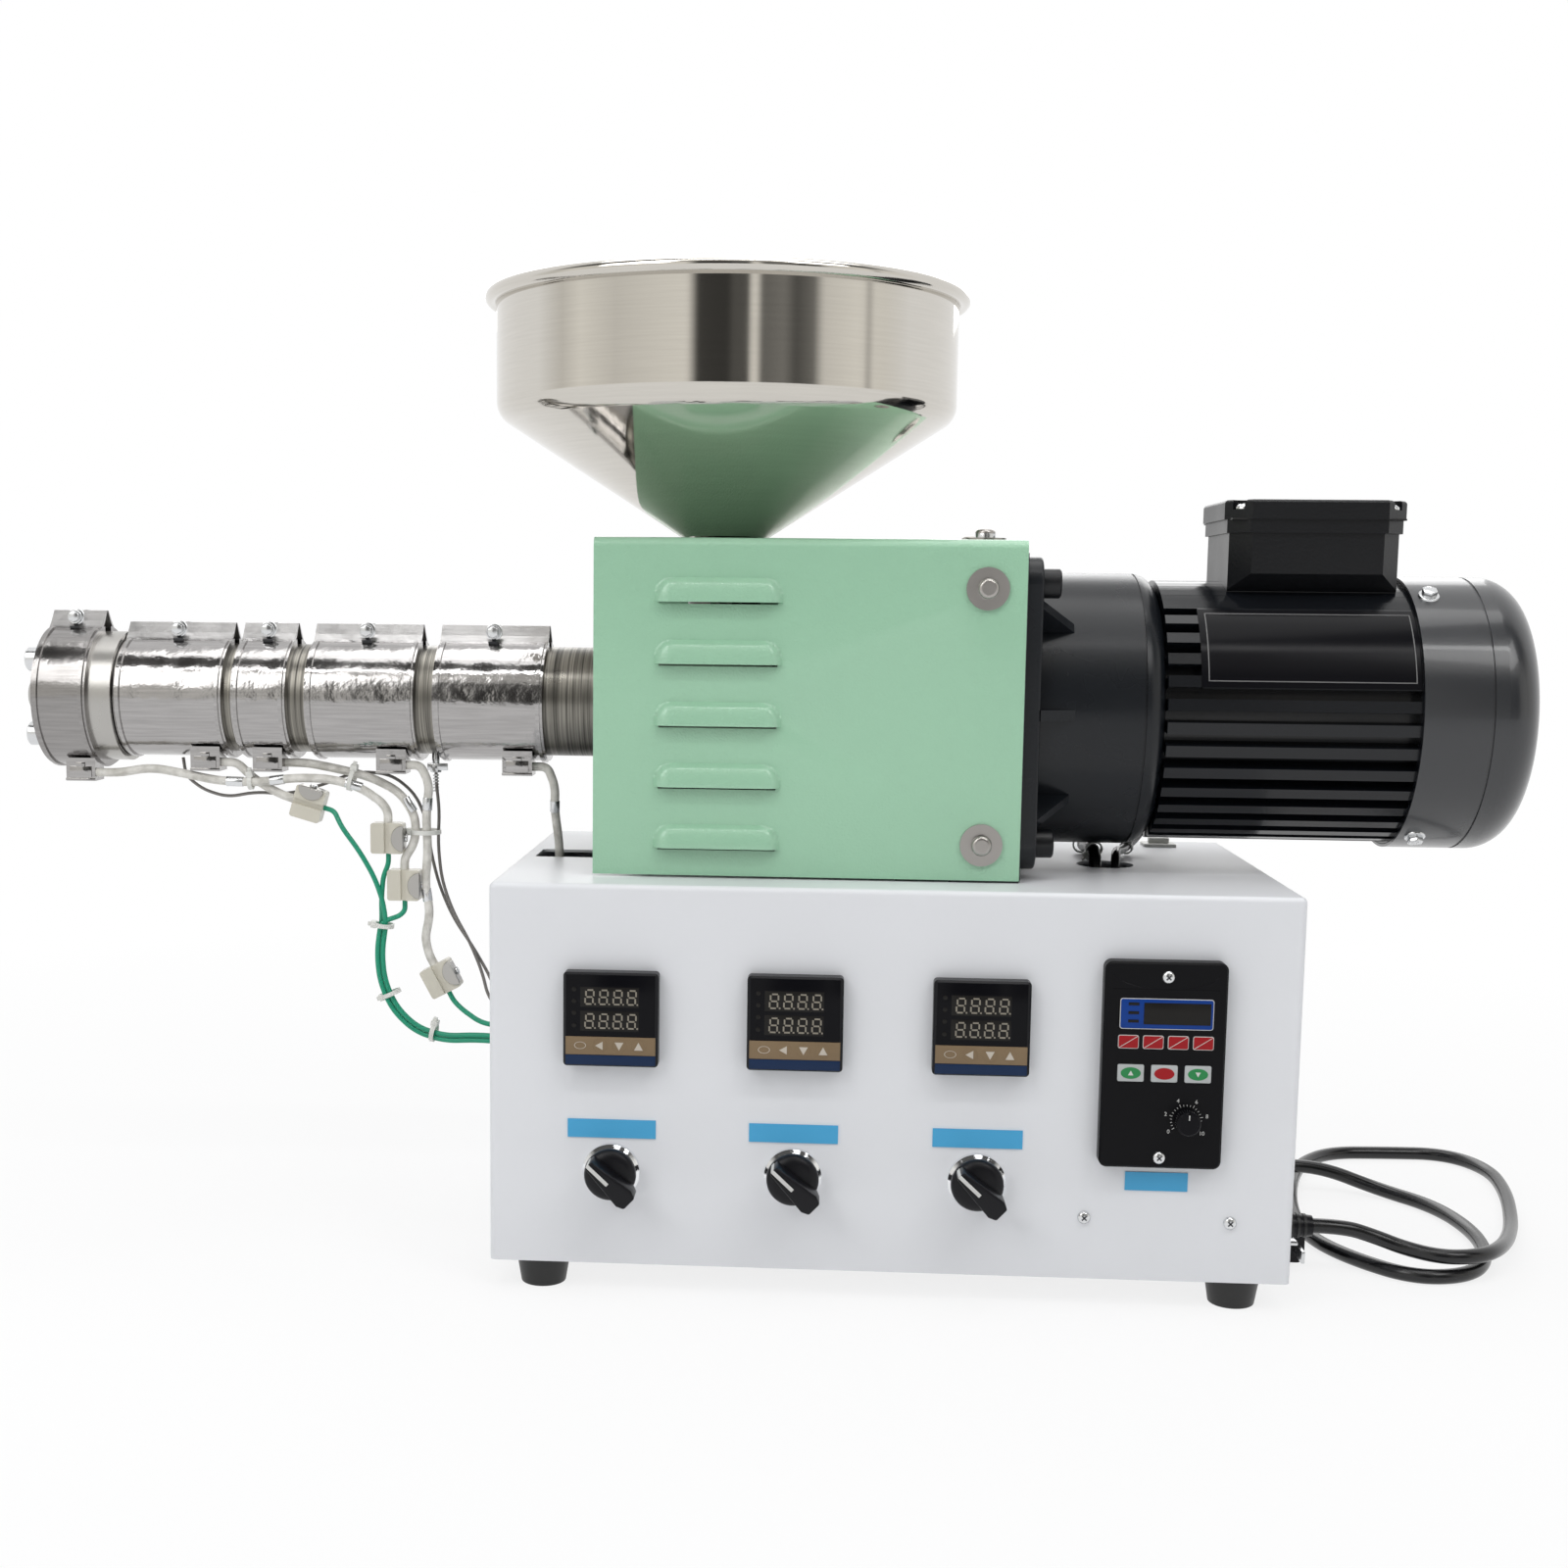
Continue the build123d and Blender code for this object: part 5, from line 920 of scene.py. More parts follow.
@dataclass
class Controllers(Assembly):
    """The three square temperature controllers."""

    looks = {"temperature_controllers": PLASTIC, "controller_faces": GLOSS_BLACK}
    places: tuple[float, ...] = (63, 155.5, 248)  # Middle X of each one
    height: float = 144.0  # Their middle height
    face: float = -8.0  # Y of their front face
    # Name, finish, rise, height over the middle, size and edge of each printed film
    films: tuple[tuple[str, Finish, float, float, Point, float], ...] = (
        ("front", GLOSS_BLACK, 0.1, 7.2, (44.6, 0.5, 31.4), 0.2),
        ("keys", TAN, 0.15, -13.3, (45.4, 0.5, 9.2), 0.15),
        ("foot_film", NAVY, 0.12, -20.6, (45.4, 0.5, 5), 0.15),
    )
    window: Point = (29.6, 0.2, 10.2)  # Size of a window, half a millimetre left of the middle
    rows: Pair = (11.6, -0.6)  # Height of each window and its digits over the middle
    columns: tuple[float, ...] = (-10.6, -3.5, 3.6, 10.7)  # X of the digits from the middle
    # Half width, half height and thickness of a digit's segments
    digit: tuple[float, float, float] = (1.95, 3.55, 0.8)
    slant: float = 0.12  # How far a digit leans to the right for its height
    lamp_x: float = -18.4  # X of the small lamps from the middle
    lamps: tuple[float, ...] = (15.4, 9.4, 3.4, -3)  # Height of each small lamp over the middle
    oval: Pair = (-15.3, -13.2)  # X and Z of the oval on the first key from the middle
    # Corners of the arrows on the keys
    arrows: tuple[tuple[Pair, ...], ...] = (
        ((-7.7, -13.2), (-3.9, -11.1), (-3.9, -15.3)),
        ((2.2, -11.4), (6.6, -11.4), (4.4, -15.4)),
        ((12, -15.2), (16.4, -15.2), (14.2, -11.2)),
    )
    rims: tuple[float, ...] = (-5.4, 4.4, 14.2)  # X of the arrow keys' rims from the middle

    def _digit(self, stock: Stock, middle: Vector) -> None:
        """Add the seven segments of one digit and its point.

        Args:
            stock: The mesh that takes them.
            middle: Middle of the digit.
        """
        half, tall, thick = self.digit
        across, upright = (2 * half - 1, thick), (thick, tall - 1)
        parts = [(0, dz, across) for dz in (tall, 0, -tall)]
        parts += [(dx, dz, upright) for dz in (tall / 2, -tall / 2) for dx in (-half, half)]
        parts.append((half + 1.3, -tall, (thick, thick)))
        for dx, dz, (wide, high) in parts:
            stock.block(middle + Vector((dx + self.slant * dz, 0, dz)), (wide, 0.16, high))

    def _front(self, name: str, middle: Vector) -> None:
        """Print one controller's face.

        Args:
            name: Name of the controller.
            middle: Middle of its front face.
        """
        def at(dx: float, rise: float, dz: float) -> Vector:
            """Give a point over the face."""
            return middle + Vector((dx, -rise, dz))

        for part, look, rise, dz, size, edge in self.films:
            Stock().block(at(0, rise, dz), size, edge).finish(f"{name}_{part}", look)
        glass, digits, lamps, marks, rims = (Stock() for _ in range(5))
        for dz in self.rows:
            glass.block(at(-0.5, 0.35, dz), self.window, 0.1)
            for dx in self.columns:
                self._digit(digits, at(dx, 0.45, dz))
        for dz in self.lamps:
            lamps.bar(at(self.lamp_x, 0.3, dz), at(self.lamp_x, 0.5, dz), 1.2, sides=20, bevel=0.08)
        marks.lathe([(0, 1), (0.14, 1), (0.14, 0.88), (0, 0.88)], (0, 0, 0), TO_FRONT, 40)
        dx, dz = self.oval
        marks.move(Matrix.Translation(at(dx, 0.42, dz)) @ Matrix.Diagonal((3, 1, 1.85, 1)))
        for corners in self.arrows:
            marks.outline([at(dx, 0.42, dz) for dx, dz in corners], (0, -0.14, 0))
        for dx in self.rims:
            rims.lathe([(0, 3.75), (0.1, 3.7), (0.1, 3.5), (0, 3.45)], at(dx, 0.38, -13.1), TO_FRONT, 32)
        for part, stock, look in (
            ("windows", glass, WINDOW), ("digits", digits, SEGMENT), ("lamps", lamps, WINDOW),
            ("marks", marks, KEY_MARK), ("key_rims", rims, TAN),
        ):
            stock.finish(f"{name}_{part}", look)

    def add_pieces(self) -> None:
        """Print the face of each controller."""
        for i, x in enumerate(self.places):
            self._front(f"controller_{i + 1}", Vector((x, self.face, self.height)))


@dataclass
class Selectors(Assembly):
    """The three selector switches with their film strips."""

    looks = {"selector_bodies": CHROME, "label_strips": SKY}
    # Middle X and side of each one
    places: tuple[tuple[float, str], ...] = ((63, "left"), (155.5, "middle"), (248, "right"))
    height: float = 64.0  # Their middle height
    back: float = 5.3  # Distance from the panel to the foot of a knob's dial
    reach: float = 13.2  # How far a grip stands out of its dial's top
    turned: float = -47.0  # Turn of the knobs at rest, in degrees
    # Section of the domed dial, as distance from its foot and radius
    dial: tuple[Pair, ...] = (
        (0, 0), (0, 12.7), (1.2, 13.3), (3.4, 13.1), (5, 12), (6, 9), (6.3, 0)
    )
    # Corners of the grip, with its pointed heel
    grip: tuple[Pair, ...] = ((-2.5, 13), (2.5, 13), (5.6, -11.6), (3.9, -15.5), (-3.9, -15.5), (-5.6, -11.6))

    def _knob(self, x: float, side: str) -> None:
        """Make one knob: a low dome, a tapered grip and a white line.

        Args:
            x: Its middle.
            side: Its side, as its body is named.
        """
        lean = Matrix.Translation((x, 0, self.height)) @ tilt(self.turned)
        front = -(self.back + 4.6)
        dome = Stock().lathe([(self.back + d, r) for d, r in self.dial], (0, 0, 0), TO_FRONT, 56)
        dome.outline([(dx, front, dz) for dx, dz in self.grip], (0, -self.reach, 0), 1, 3).move(lean)
        knob = dome.finish(f"selector_{side}_grip", PLASTIC, f"selector_{side}", 50)
        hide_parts(f"selector_knob_{side}")
        line = Stock()
        line.block((-0.5, front - self.reach + 0.01, 6.1), (1.9, 0.4, 14.2), 0.15)
        line.block((-0.5, front - self.reach / 2 + 0.4, 13), (1.9, self.reach - 1.4, 0.4), 0.15)
        line.move(lean).finish(f"selector_{side}_line", PALE_PRINT, f"selector_{side}")

    def add_pieces(self) -> None:
        """Make the three knobs."""
        for x, side in self.places:
            self._knob(x, side)


@dataclass
class SpeedControl(Assembly):
    """The speed controller with its display, keys and dial."""

    looks = {"speed_controller": MATT_BLACK, "speed_knob": GLOSS_BLACK}
    middle: Point = (337.5, -8, 127.5)  # Middle of its plate's front
    knob: Point = (349.5, -8, 100.5)  # Middle of its knob's foot
    display: Pair = (0.6, 26.1)  # X and Z of the display from the plate's middle
    window: Pair = (5.7, 26.3)  # X and Z of its window
    lamp_x: float = -15.6  # X of its small lamps
    lamps: tuple[float, ...] = (31, 26.6, 22.4)  # Z of each one
    red_keys: tuple[float, ...] = (-17.6, -5.5, 6.7, 18.9)  # X of the red keys from the plate's middle
    red_row: float = 11.9  # Z of the red keys
    grey_row: float = -3.7  # Z of the grey keys
    scale: Pair = (216, -256)  # First angle and sweep of the dial's scale, in degrees
    ticks: int = 20  # Number of steps between the ticks, a longer one at every fourth
    tick_radius: float = 6.9  # Radius at which the ticks start
    number_radius: float = 10.4  # Radius of the numbers

    def _place(self, dx: float, dz: float, rise: float = 0.0) -> Vector:
        """Give a point of the plate's front."""
        return Vector(self.middle) + Vector((dx, -rise, dz))

    def _display(self) -> None:
        """Make the blue display frame, its window and its lamps."""
        for name, look, rise, size, corner, edge in (
            ("speed_display_rim", PALE_PRINT, 0, (45.6, 0.6, 15.4), 1.4, 0.1),
            ("speed_display_film", DISPLAY_BLUE, 0.25, (44.9, 0.4, 14.7), 1.1, 0.08),
        ):
            Stock().tile(self._place(*self.display, rise), size, corner, edge).finish(name, look)
        glass = Stock().block(self._place(*self.window, 0.5), (32.6, 0.4, 10.8), 0.15)
        for dz in self.lamps:
            glass.block(self._place(self.lamp_x, dz, 0.5), (5.2, 0.3, 1.5), 0.1)
        glass.finish("speed_display_window", WINDOW)

    def _keys(self) -> None:
        """Make the red keys with their slant and the grey ones with an oval each, two with an arrow."""
        red, white, grey, green, stop = (Stock() for _ in range(5))
        for dx in self.red_keys:
            white.tile(self._place(dx, self.red_row, 0.1), (10.1, 0.5, 6.8), 1, 0.1)
            red.tile(self._place(dx, self.red_row, 0.3), (9.5, 0.4, 6.2), 0.8, 0.1)
            white.block(self._place(dx, self.red_row, 0.5), (10.4, 0.16, 0.28), turn=tilt(-33))
        for dx, oval, up in ((-16, green, 1), (0.4, stop, 0), (16.8, green, -1)):
            grey.tile(self._place(dx, self.grey_row, 0.3), (12.9, 1, 8.6), 0.8, 0.25)
            centre = Matrix.Translation(self._place(dx, self.grey_row, 0.7))
            disc = Stock().bar((0, 0, 0), (0, -0.3, 0), 1, sides=36)
            oval.take(disc.move(centre @ Matrix.Diagonal((4.9, 1, 2.9, 1))))
            if up:
                corners = ((-1.3, -1.1), (1.3, -1.1), (0, 1.3))
                points = [self._place(dx + px, self.grey_row + pz * up, 1) for px, pz in corners]
                white.outline(points, (0, -0.14, 0))
        red.finish("speed_red_keys", KEY_RED)
        white.finish("speed_key_print", PALE_PRINT)
        grey.finish("speed_grey_keys", KEY_GREY)
        green.finish("speed_green_ovals", KEY_GREEN)
        stop.finish("speed_stop_oval", KEY_RED)

    def _around(self, degrees: float, away: float) -> Vector:
        """Give a point round the knob on the plate's front."""
        angle = math.radians(degrees)
        return Vector(self.knob) + Vector((math.cos(angle), 0, math.sin(angle))) * away

    def _scale(self) -> None:
        """Print the dial's ticks and its even numbers from 0 to 10."""
        first, sweep = self.scale
        ticks = Stock()
        for i in range(self.ticks + 1):
            degrees = first + sweep * i / self.ticks
            reach = 0.9 if i % 4 else 1.5
            middle = self._around(degrees, self.tick_radius + reach / 2) + Vector((0, -0.05, 0))
            ticks.block(middle, (reach, 0.2, 0.24), turn=tilt(-degrees))
        ticks.finish("speed_ticks", PALE_PRINT)
        for number in range(0, 11, 2):
            numeral(number, self._around(first + sweep * number / 10, self.number_radius), 2)

    def _plate_lines(self) -> None:
        """Mould the straight line and the two shallow arcs into the plate's head."""
        lines = Stock().block(self._place(0, 38.4), (52, 0.3, 0.35))
        for side in (-1, 1):
            arc = [math.radians(8 + 6 * k) for k in range(11)]
            points = [self._place(side * (30 * math.cos(a) - 4), 46.8 - 9 * math.sin(a)) for a in arc]
            for start, end in zip(points, points[1:]):
                lines.bar(start, end, 0.2, sides=6)
        lines.finish("speed_plate_lines", GLOSS_BLACK)

    def add_pieces(self) -> None:
        """Print the controller's face, add its screws and mark its knob."""
        self._display()
        self._keys()
        self._scale()
        pan_screw("speed_screw_top", self._place(0.7, 44.6), TO_FRONT, 3.2)
        pan_screw("speed_screw_low", self._place(-0.5, -46.4), TO_FRONT, 3.2)
        self._plate_lines()
        pointer = Stock().block(Vector(self.knob) + Vector((0, -9.35, 3.4)), (0.55, 0.3, 2.6), 0.1, 1)
        pointer.finish("speed_knob_pointer", PALE_PRINT, "speed_dial")


@dataclass
class BarrelLine(Assembly):
    """Barrel, die, band heaters and what clamps them."""

    looks = {
        "band_heater_1": DIE_BAND_STEEL, "band_heater_2": BAND_STEEL, "band_heater_3": BAND_STEEL,
        "band_heater_4": BAND_STEEL, "band_heater_5": BAND_STEEL, "heater_terminals": BAND_STEEL,
        "heater_clamp_bolts": ZINC, "barrel": TURNED, "extruder_screw": PLAIN_STEEL, "die_head": PLAIN_STEEL,
        "die_bolts": ZINC,
    }
    axis: Pair = (115, 297)  # Y and Z of the machine axis
    # Start and end X, outer radius and terminal's start of each band heater
    bands: tuple[tuple[float, float, float, float], ...] = (
        (-265, -235, 39, 12), (-221.5, -161.5, 33, 39), (-156, -126, 33, 8.5),
        (-115.5, -55.5, 33, 37), (-45, 15, 33, 36.5),
    )
    terminal: Pair = (16.5, 15)  # Length and half width of a terminal box
    nut_height: float = 5.0  # Height of a clamp's nut over its band
    probe: Point = (-48.5, 110, 268.5)  # Top of the thermocouple's screw under the barrel

    def _clamp(self, number: int, middle: float, outer: float) -> None:
        """Add the washer, the nut and the small tab of one clamp.

        Args:
            number: Number of the band.
            middle: Its middle X.
            outer: Its outer radius.
        """
        y, at = self.axis[0], self.axis[1] + outer + self.nut_height
        bolt = Stock().bar((middle, y - 8.6, at), (middle, y - 7.2, at), 4.6, sides=28, bevel=0.3)
        bolt.bar((middle, y - 13, at), (middle, y - 10.5, at), 3.2, sides=6, bevel=0.4)
        bolt.finish(f"band_{number}_washer", ZINC)
        tab, slant = Stock(), tilt(38, "X")
        tab.block((middle, y - 9.9, at - 6.6), (5.6, 0.7, 3.6), 0.2, 1, slant)
        tab.block((middle, y - 8.9, at - 4.4), (2, 0.9, 3), 0.2, 1, slant)
        tab.finish(f"band_{number}_tab", DARK_STEEL_AND_RECESS_SHADE)

    def add_pieces(self) -> None:
        """Add the clamps' and the terminals' small parts and the thermocouple's clip."""
        y, z = self.axis
        long, half = self.terminal
        for i, (start, end, outer, shift) in enumerate(self.bands):
            self._clamp(i + 1, (start + end) / 2, outer)
            low = z - math.sqrt(outer**2 - half**2)
            x = start + shift + long / 2
            lip = Stock().block((x, y - 21.9, low - 9.6), (16.9, 1, 1.4), 0.3)
            lip.block((x, y - 22, low - 1.2), (5, 0.8, 2.2), 0.3)
            lip.block((x, y - 21.8, low - 5.4), (12.4, 0.5, 6.2), 0.25)
            lip.finish(f"terminal_{i + 1}_cover_lip", BAND_STEEL)
        top = Vector(self.probe)
        clip = Stock().bar(top, top - Vector((0, 0, 11)), 2.1, sides=20, bevel=0.3)
        clip.bar(top + Vector((0, -0.4, -7.5)), top + Vector((0, -0.4, -11.5)), 3.3, sides=6, bevel=0.4)
        clip.block(top + Vector((1.5, -2.6, -8.3)), (11.5, 1.2, 4), 0.4)
        for k in range(6):
            clip.ring(top + Vector((0.6, -3.1, -12.9 - 1.7 * k)), (0.1, 0, -1), 1.1, 0.6, 0.9)
        clip.finish("thermocouple_clip", ZINC)


class Hopper(Assembly):
    """The spun hopper over the drive cover, with the feed block and its stand."""

    looks = {"hopper": HOPPER_STEEL, "feed_block": PLAIN_STEEL, "barrel_stand": DARK_STEEL_AND_RECESS_SHADE}


@dataclass
class DriveCover(Assembly):
    """The louvred sheet cover over the coupling, with its pressed hoods rounded at their ends."""

    face: float = 31.0  # Y of the front sheet's outer side
    sheet: float = 1.5  # Thickness of the sheet
    low: float = 81.0  # First X of a hood
    high: float = 144.5  # Last X of a hood
    tops: tuple[float, ...] = (364, 332.6, 301.2, 269.8, 238.4)  # Upper edge of each hood
    height: float = 11.0  # Height of a hood
    proud: float = 5.0  # How far a hood stands out
    corner: float = 7.5  # Reach of the rounding at a hood's ends
    # Seat and direction of each cover screw
    screws: tuple[tuple[Point, Point], ...] = (
        ((248, 31, 231), TO_FRONT), ((248, 31, 360.5), TO_FRONT), ((248, 199, 231), TO_REAR),
        ((248, 199, 360.5), TO_REAR), ((248, 60, 385), UPWARDS), ((248, 170, 385), UPWARDS),
    )
    # Section of a screw's head, as distance and radius
    head: tuple[Pair, ...] = (
        (1.05, 4.6), (1.05, 5.3), (3.5, 5.3), (4.5, 4.95), (5.2, 4.25), (5.62, 3.3), (5.62, 2.7), (5.3, 2.7),
    )

    def _open(self, skin: Stock, top: float) -> None:
        """Take one plain hood out of the copied sheet and line its opening.

        Args:
            skin: The copied cover.
            top: Upper edge of the hood.
        """
        near = {
            v for v in skin.bm.verts
            if self.low - 0.1 < v.co.x < self.high + 0.1 and top - self.height - 1.7 < v.co.z < top + 0.1
            and v.co.y < self.face + 3.0
        }
        whole = [f for f in skin.bm.faces if near.issuperset(f.verts)]
        for y in (self.face, self.face + self.sheet):
            whole = [f for f in whole if any(abs(v.co.y - y) >= 0.02 for v in f.verts)]
        bmesh.ops.delete(skin.bm, geom=whole, context="FACES")
        rims = [e for e in skin.bm.edges if e.is_boundary and near.issuperset(e.verts)]
        bmesh.ops.bridge_loops(skin.bm, edges=rims)

    def _hood(self, top: float) -> Stock:
        """Press one hood from a flat grid, rounded at its ends and open downwards.

        Args:
            top: Upper edge of the hood.

        Returns:
            The hood.
        """
        hood = Stock()
        half, middle = (self.high - self.low) / 2, (self.high + self.low) / 2
        lap, squareness = 0.8, 0.8
        made = bmesh.ops.create_grid(hood.bm, x_segments=44, y_segments=14, size=0.5)
        for vert in made["verts"]:
            across = vert.co.x * 2 * (half + lap)
            down = (0.5 - vert.co.y) * (self.height + 1.2)
            a = 1 - max(0, down - lap) / self.height
            b = max(0, abs(across) - (half - self.corner)) / self.corner
            rise = self.proud * math.sqrt(max(0, 1 - a * a - b * b)) ** squareness
            vert.co = (middle + across, self.face - 0.03 - rise, top + lap - down)
        faces = hood.bm.faces[:]
        bmesh.ops.recalc_face_normals(hood.bm, faces=faces)
        if faces[0].normal.y > 0:
            bmesh.ops.reverse_faces(hood.bm, faces=faces)
        bmesh.ops.solidify(hood.bm, geom=faces + hood.bm.edges[:] + hood.bm.verts[:], thickness=1.1)
        return hood

    def add_pieces(self) -> None:
        """Copy the cover, round its hoods and turn the domed heads of its screws, with a dark hex of painted
        shade in each socket.
        """
        skin = Stock()
        skin.bm.from_mesh(self.nodes["drive_cover"].data)
        bmesh.ops.remove_doubles(skin.bm, verts=skin.bm.verts[:], dist=1e-6)
        skin.move(Layout.matrix().inverted())
        for i, top in enumerate(self.tops):
            self._open(skin, top)
            hood = self._hood(top)
            hood.finish(f"cover_hood_{i + 1}", MINT, sharp=60)
        made = skin.finish("cover_skin", MINT, sharp=30)
        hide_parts("drive_cover")
        # A dark hex in each socket is painted shade for the hole's depth.
        heads, socket_shade = Stock(), Stock()
        for seat, out in self.screws:
            heads.lathe(self.head, seat, out, 40)
            socket_shade.bar(*(Vector(seat) + Vector(out) * d for d in (5.3, 5.56)), 2.5, sides=6)
        heads.finish("cover_screw_heads", ZINC, sharp=60)
        socket_shade.finish("cover_screw_sockets", DARK_STEEL_AND_RECESS_SHADE)


@dataclass
class Drive(Assembly):
    """Bracket, reducer and motor with its terminal box."""

    looks = {
        "cover_screws": WASHER_STEEL, "drive_bracket": DARK_STEEL_AND_RECESS_SHADE, "shaft_coupling": PLAIN_STEEL,
        "gear_reducer": BLACK_PAINT, "flange_bolts": BLACK_LID, "motor_body": FIN_PAINT,
        "terminal_box": BLACK_LID, "terminal_box_lid": BLACK_LID, "fan_cover": FAN_PAINT,
        "cooling_fan": FAN_PLASTIC,
    }
    axis: Pair = (115, 297)  # Y and Z of the machine axis
    fins: float = 69.5  # Radius over the motor's fins
    cowl: float = 72.5  # Radius of the fan cover
    box: Pair = (420, 408)  # Middle X of the terminal box and top of its lid
    # Name, start and end X, first and last angle, rise and finish of the plate and its border
    plate: tuple[tuple[str, float, float, float, float, float, Finish], ...] = (
        ("motor_plate", 358.6, 468.6, 129, 167.4, 0.35, GLOSS_BLACK),
        ("motor_plate_border", 362, 466, 131.5, 131.9, 0.5, DIM_PRINT),
        ("motor_plate_border_low", 362, 466, 164.6, 165, 0.5, DIM_PRINT),
        ("motor_plate_side_left", 362, 362.5, 131.5, 165, 0.5, DIM_PRINT),
        ("motor_plate_side_right", 465.5, 466, 131.5, 165, 0.5, DIM_PRINT),
    )
    step: float = 2.4  # Degrees of one facet of the wrapped plate
    cowl_screws: tuple[float, ...] = (60, 121, 240, 300)  # Angle of each screw of the fan cover
    cowl_x: float = 477.8  # Where these screws sit along the motor
    # X and Y of the lid's screws from its middle
    lid_screws: tuple[Pair, ...] = ((-37.5, -33), (37.5, -33), (-37.5, 33), (37.5, 33))

    def _around(self, x: float, radius: float, degrees: float) -> Vector:
        """Give a point round the axis at an angle from the rear, over the top."""
        angle = math.radians(degrees)
        return Vector((x, self.axis[0] + radius * math.cos(angle), self.axis[1] + radius * math.sin(angle)))

    def _plate(self) -> None:
        """Wrap the bare plate round the motor's side, with a thin border."""
        for name, start, end, low, high, rise, look in self.plate:
            sheet = Stock()
            inner, outer = self.fins - 0.1, self.fins + rise
            section = ((start, inner), (start, outer), (end, outer), (end, inner))
            face = sheet.bm.faces.new([sheet.bm.verts.new(self._around(x, r, low)) for x, r in section])
            bmesh.ops.spin(
                sheet.bm, geom=[face, *face.edges, *face.verts], cent=Vector((0, *self.axis)),
                axis=Vector((1, 0, 0)), angle=math.radians(high - low),
                steps=max(2, int((high - low) / self.step)), use_merge=False, use_duplicate=False,
            )
            sheet.finish(name, look)

    def add_pieces(self) -> None:
        """Add the motor's plate, the fan cover's flanged screws, the lid's screws and its seal."""
        self._plate()
        for i, degrees in enumerate(self.cowl_screws):
            seat = self._around(self.cowl_x, self.cowl - 0.4, degrees)
            out = (seat - self._around(self.cowl_x, 0, degrees)).normalized()
            screw = Stock().bar(seat, seat + out * 1.4, 5.6, 5.2, bevel=0.25)
            screw.bar(seat + out * 1.2, seat + out * 4.4, 4.1, sides=6, bevel=0.35)
            screw.finish(f"fan_cover_screw_{i + 1}", ZINC)
        (x, top), y = self.box, self.axis[0]
        for i, (dx, dy) in enumerate(self.lid_screws):
            pan_screw(f"lid_screw_{i + 1}", (x + dx, y + dy, top - 4.8), UPWARDS, 4.4)
        Stock().block((x, y, top - 10), (88.4, 79.4, 0.9)).finish("lid_seal", RUBBER)


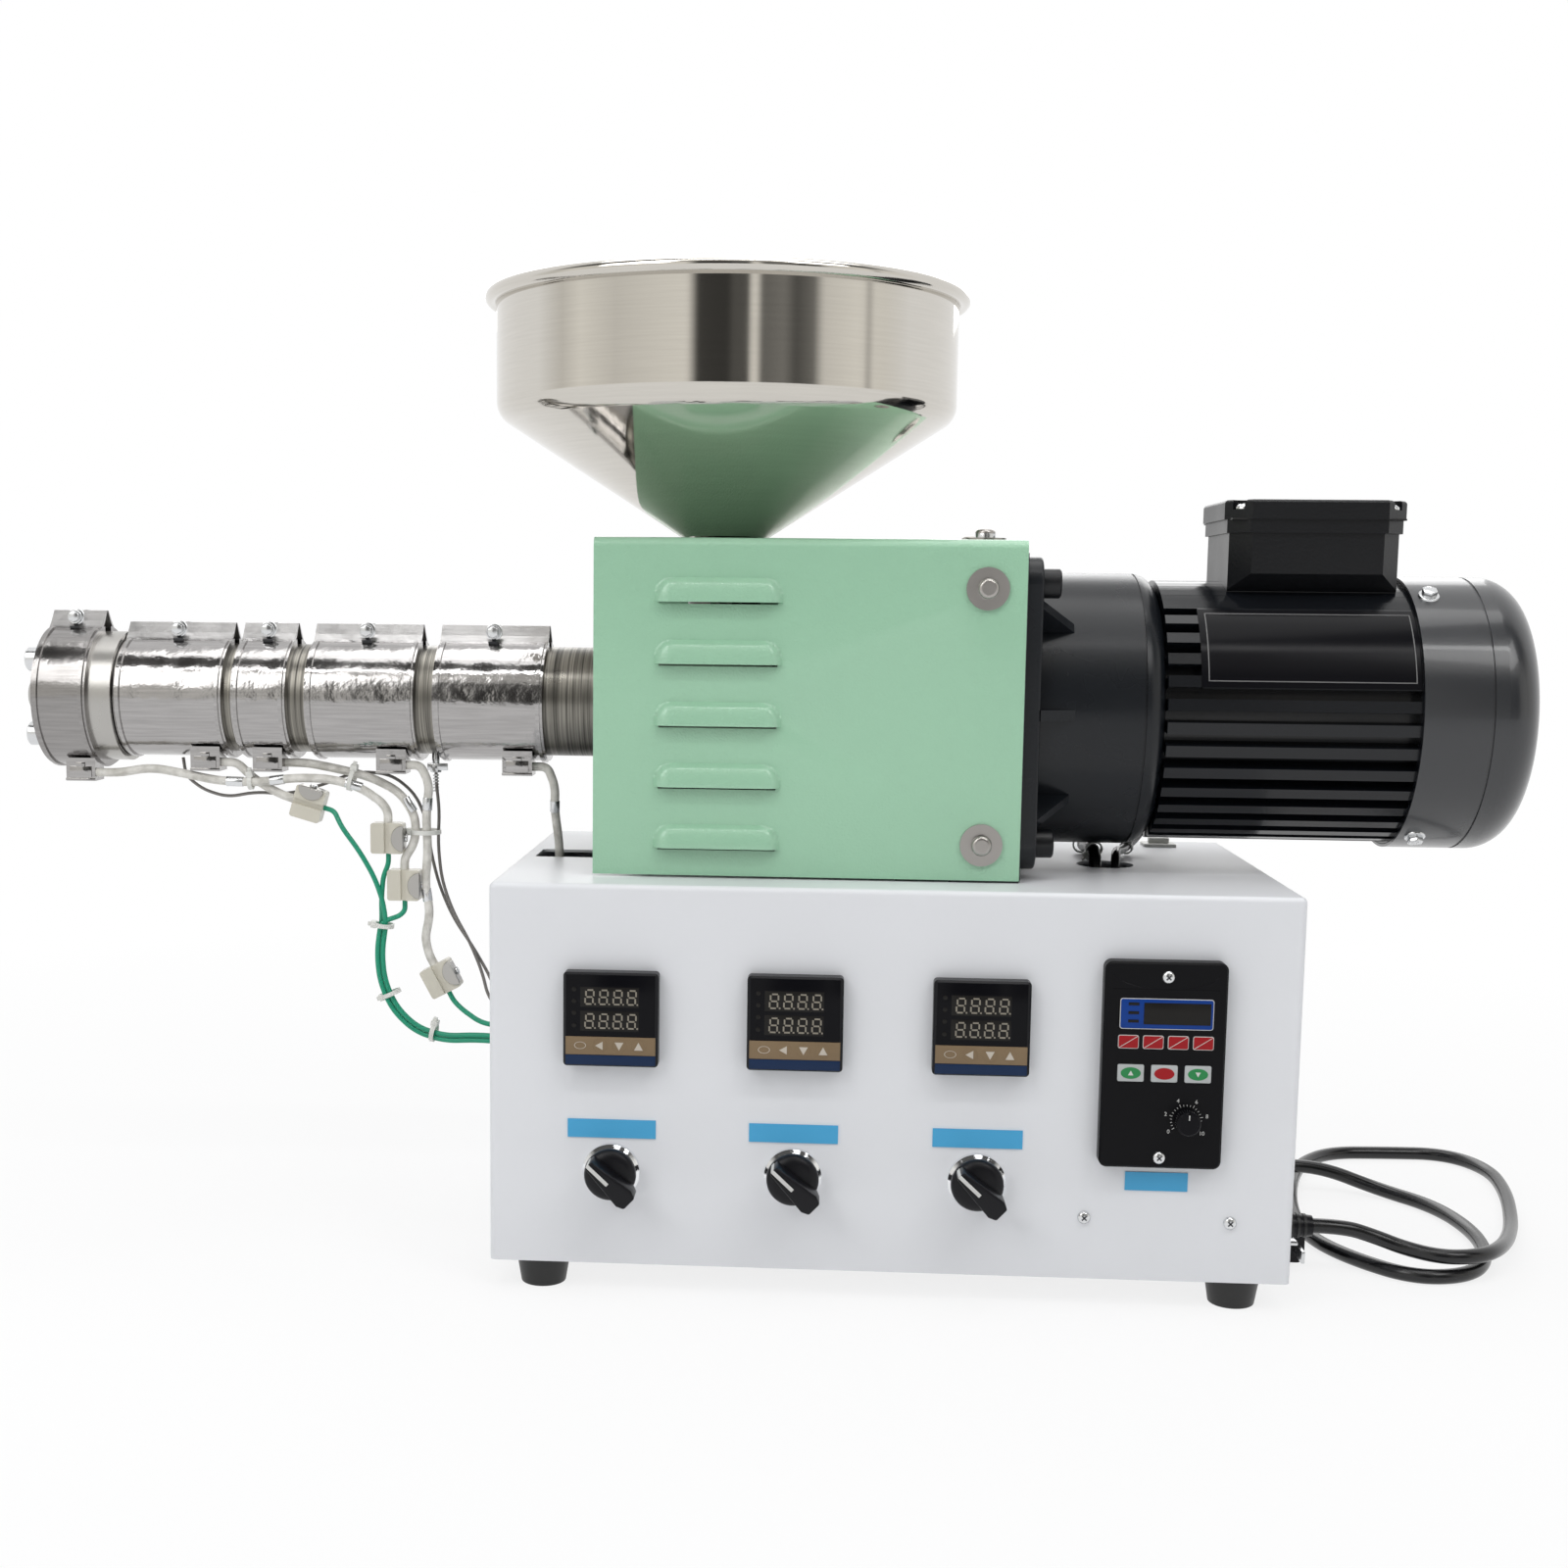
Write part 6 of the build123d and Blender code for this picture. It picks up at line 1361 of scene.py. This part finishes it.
@dataclass
class Harness(Assembly):
    """Leads, wires, connectors and ties under the barrel and behind the motor."""

    looks = {
        "heater_leads": SLEEVE, "thermocouple_leads": PROBE_SLEEVE, "supply_wires": GREEN_WIRE,
        "lead_connectors": CERAMIC, "motor_cables": CABLE,
    }
    # Start and end of each metal ferrule on a lead
    crimps: tuple[tuple[Point, Point], ...] = (
        ((-163, 96, 251.4), (-153.5, 96, 251.2)), ((-138.5, 96, 251.9), (-130.5, 96, 253)),
        ((-96, 96, 251.6), (-87, 96, 248.9)), ((-64, 101.4, 243.2), (-59.6, 101.2, 235.5)),
        ((-50.4, 97, 244), (-51, 97, 237)), ((-51.5, 95.2, 193.5), (-50.4, 94.7, 186.5)),
        ((19, 104.6, 243), (18.7, 106.6, 236.5)),
    )
    crimp_radius: float = 2.75  # Radius of a ferrule
    # Middle, direction and radius of each cable tie
    ties: tuple[tuple[Point, Point, float], ...] = (
        ((-149.7, 97, 251), (1, 0, 0.05), 3.3), ((-93.2, 98.5, 253.2), (1, 0, -0.25), 5.6),
        ((-52.4, 100.5, 224.6), (0, 0, 1), 7.6), ((-74.8, 94.5, 172.5), (0.1, 0, 1), 4.4),
        ((-71, 94, 134.4), (-0.45, 0, 1), 4.4), ((-47, 91.5, 113.2), (1, -0.1, -0.2), 4.4),
        ((314.8, 160, 216.9), (0.1, 1, 0.05), 3.9), ((340, 157, 216), (0.4, 1, 0.1), 2.9),
        ((317.9, 128, 218.4), (-0.1, 1, 0.3), 3.9),
    )
    # Middle and lean in degrees of each connector
    connectors: tuple[tuple[Point, float], ...] = (
        ((-117.2, 98, 239.6), -74), ((-72.6, 96, 221.4), 0), ((-63.6, 96, 195.4), 0),
        ((-42.9, 94, 143.6), -28),
    )
    # Middle, size and edge of the cable mount's foot and head
    mount: tuple[tuple[Point, Point, float], ...] = (
        ((366, 206, 212.4), (19, 15, 1.8), 0.4), ((366, 206, 214.8), (12, 5, 3.4), 0.6)
    )

    def _tie(self, stock: Stock, middle: Point, along: Point, radius: float) -> None:
        """Add one cable tie with its head and cut tail.

        Args:
            stock: The mesh that takes it.
            middle: Middle of its loop.
            along: Direction of the wires.
            radius: Inner radius of its loop.
        """
        axis = Vector(along).normalized()
        side = axis.cross(Vector((0, 1, 0.2))).normalized()
        turn = Matrix((side, side.cross(axis), axis)).transposed().to_4x4()
        head = Vector(middle) + side * (radius + 1.5)
        stock.ring(middle, along, radius, 0.9, 2.4).block(head, (3.2, 4.6, 4), 0.5, 2, turn)
        stock.block(head + side * 2.2, (2.6, 1.1, 2.3), 0.2, 1, turn)

    def _clips(self) -> None:
        """Add the half-round spring clip and the screw at the side of each connector."""
        clips, screws = Stock(), Stock()
        angles = map(math.radians, range(0, 181, 15))
        arc = [(9.15 - 6.6 * math.sin(a), -4.6, 7.2 * math.cos(a)) for a in angles]
        for centre, lean in self.connectors:
            turn = Matrix.Translation(centre) @ tilt(lean)
            clip = Stock().outline(arc, (0, -0.8, 0), 0.2, 1)
            clips.take(clip.block((8.9, -0.6, 0), (0.9, 8.6, 12), 0.2, 1).move(turn))
            start, end = (turn @ Vector((dx, -0.6, 0)) for dx in (9.4, 10.8))
            screws.bar(start, end, 2.1, sides=20, bevel=0.25)
        clips.finish("connector_clips", PLAIN_STEEL)
        screws.finish("connector_screws", ZINC)

    def add_pieces(self) -> None:
        """Add ferrules, ties, clips and the cable mount."""
        ferrules, ties, mount = Stock(), Stock(), Stock()
        for start, end in self.crimps:
            ferrules.bar(start, end, self.crimp_radius, sides=24, bevel=0.25)
        ferrules.finish("lead_ferrules", ZINC)
        for middle, along, radius in self.ties:
            self._tie(ties, middle, along, radius)
        ties.finish("cable_ties", NYLON)
        self._clips()
        for middle, size, edge in self.mount:
            mount.block(middle, size, edge)
        mount.finish("cable_mount", NYLON)


def main() -> None:
    """Build the studio and every sub-assembly in order."""
    logging.basicConfig(level=logging.INFO, format="%(name)s: %(message)s")
    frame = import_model()
    Assembly.nodes = frame["nodes"]
    Layout.find()
    Studio().build()
    for kind in (
        PowerCord, Cabinet, Controllers, Selectors, SpeedControl, BarrelLine, Hopper, DriveCover, Drive,
        Harness,
    ):
        LOG.info("building %s", kind.__name__)
        kind().build()


if __name__ == "__main__":
    main()
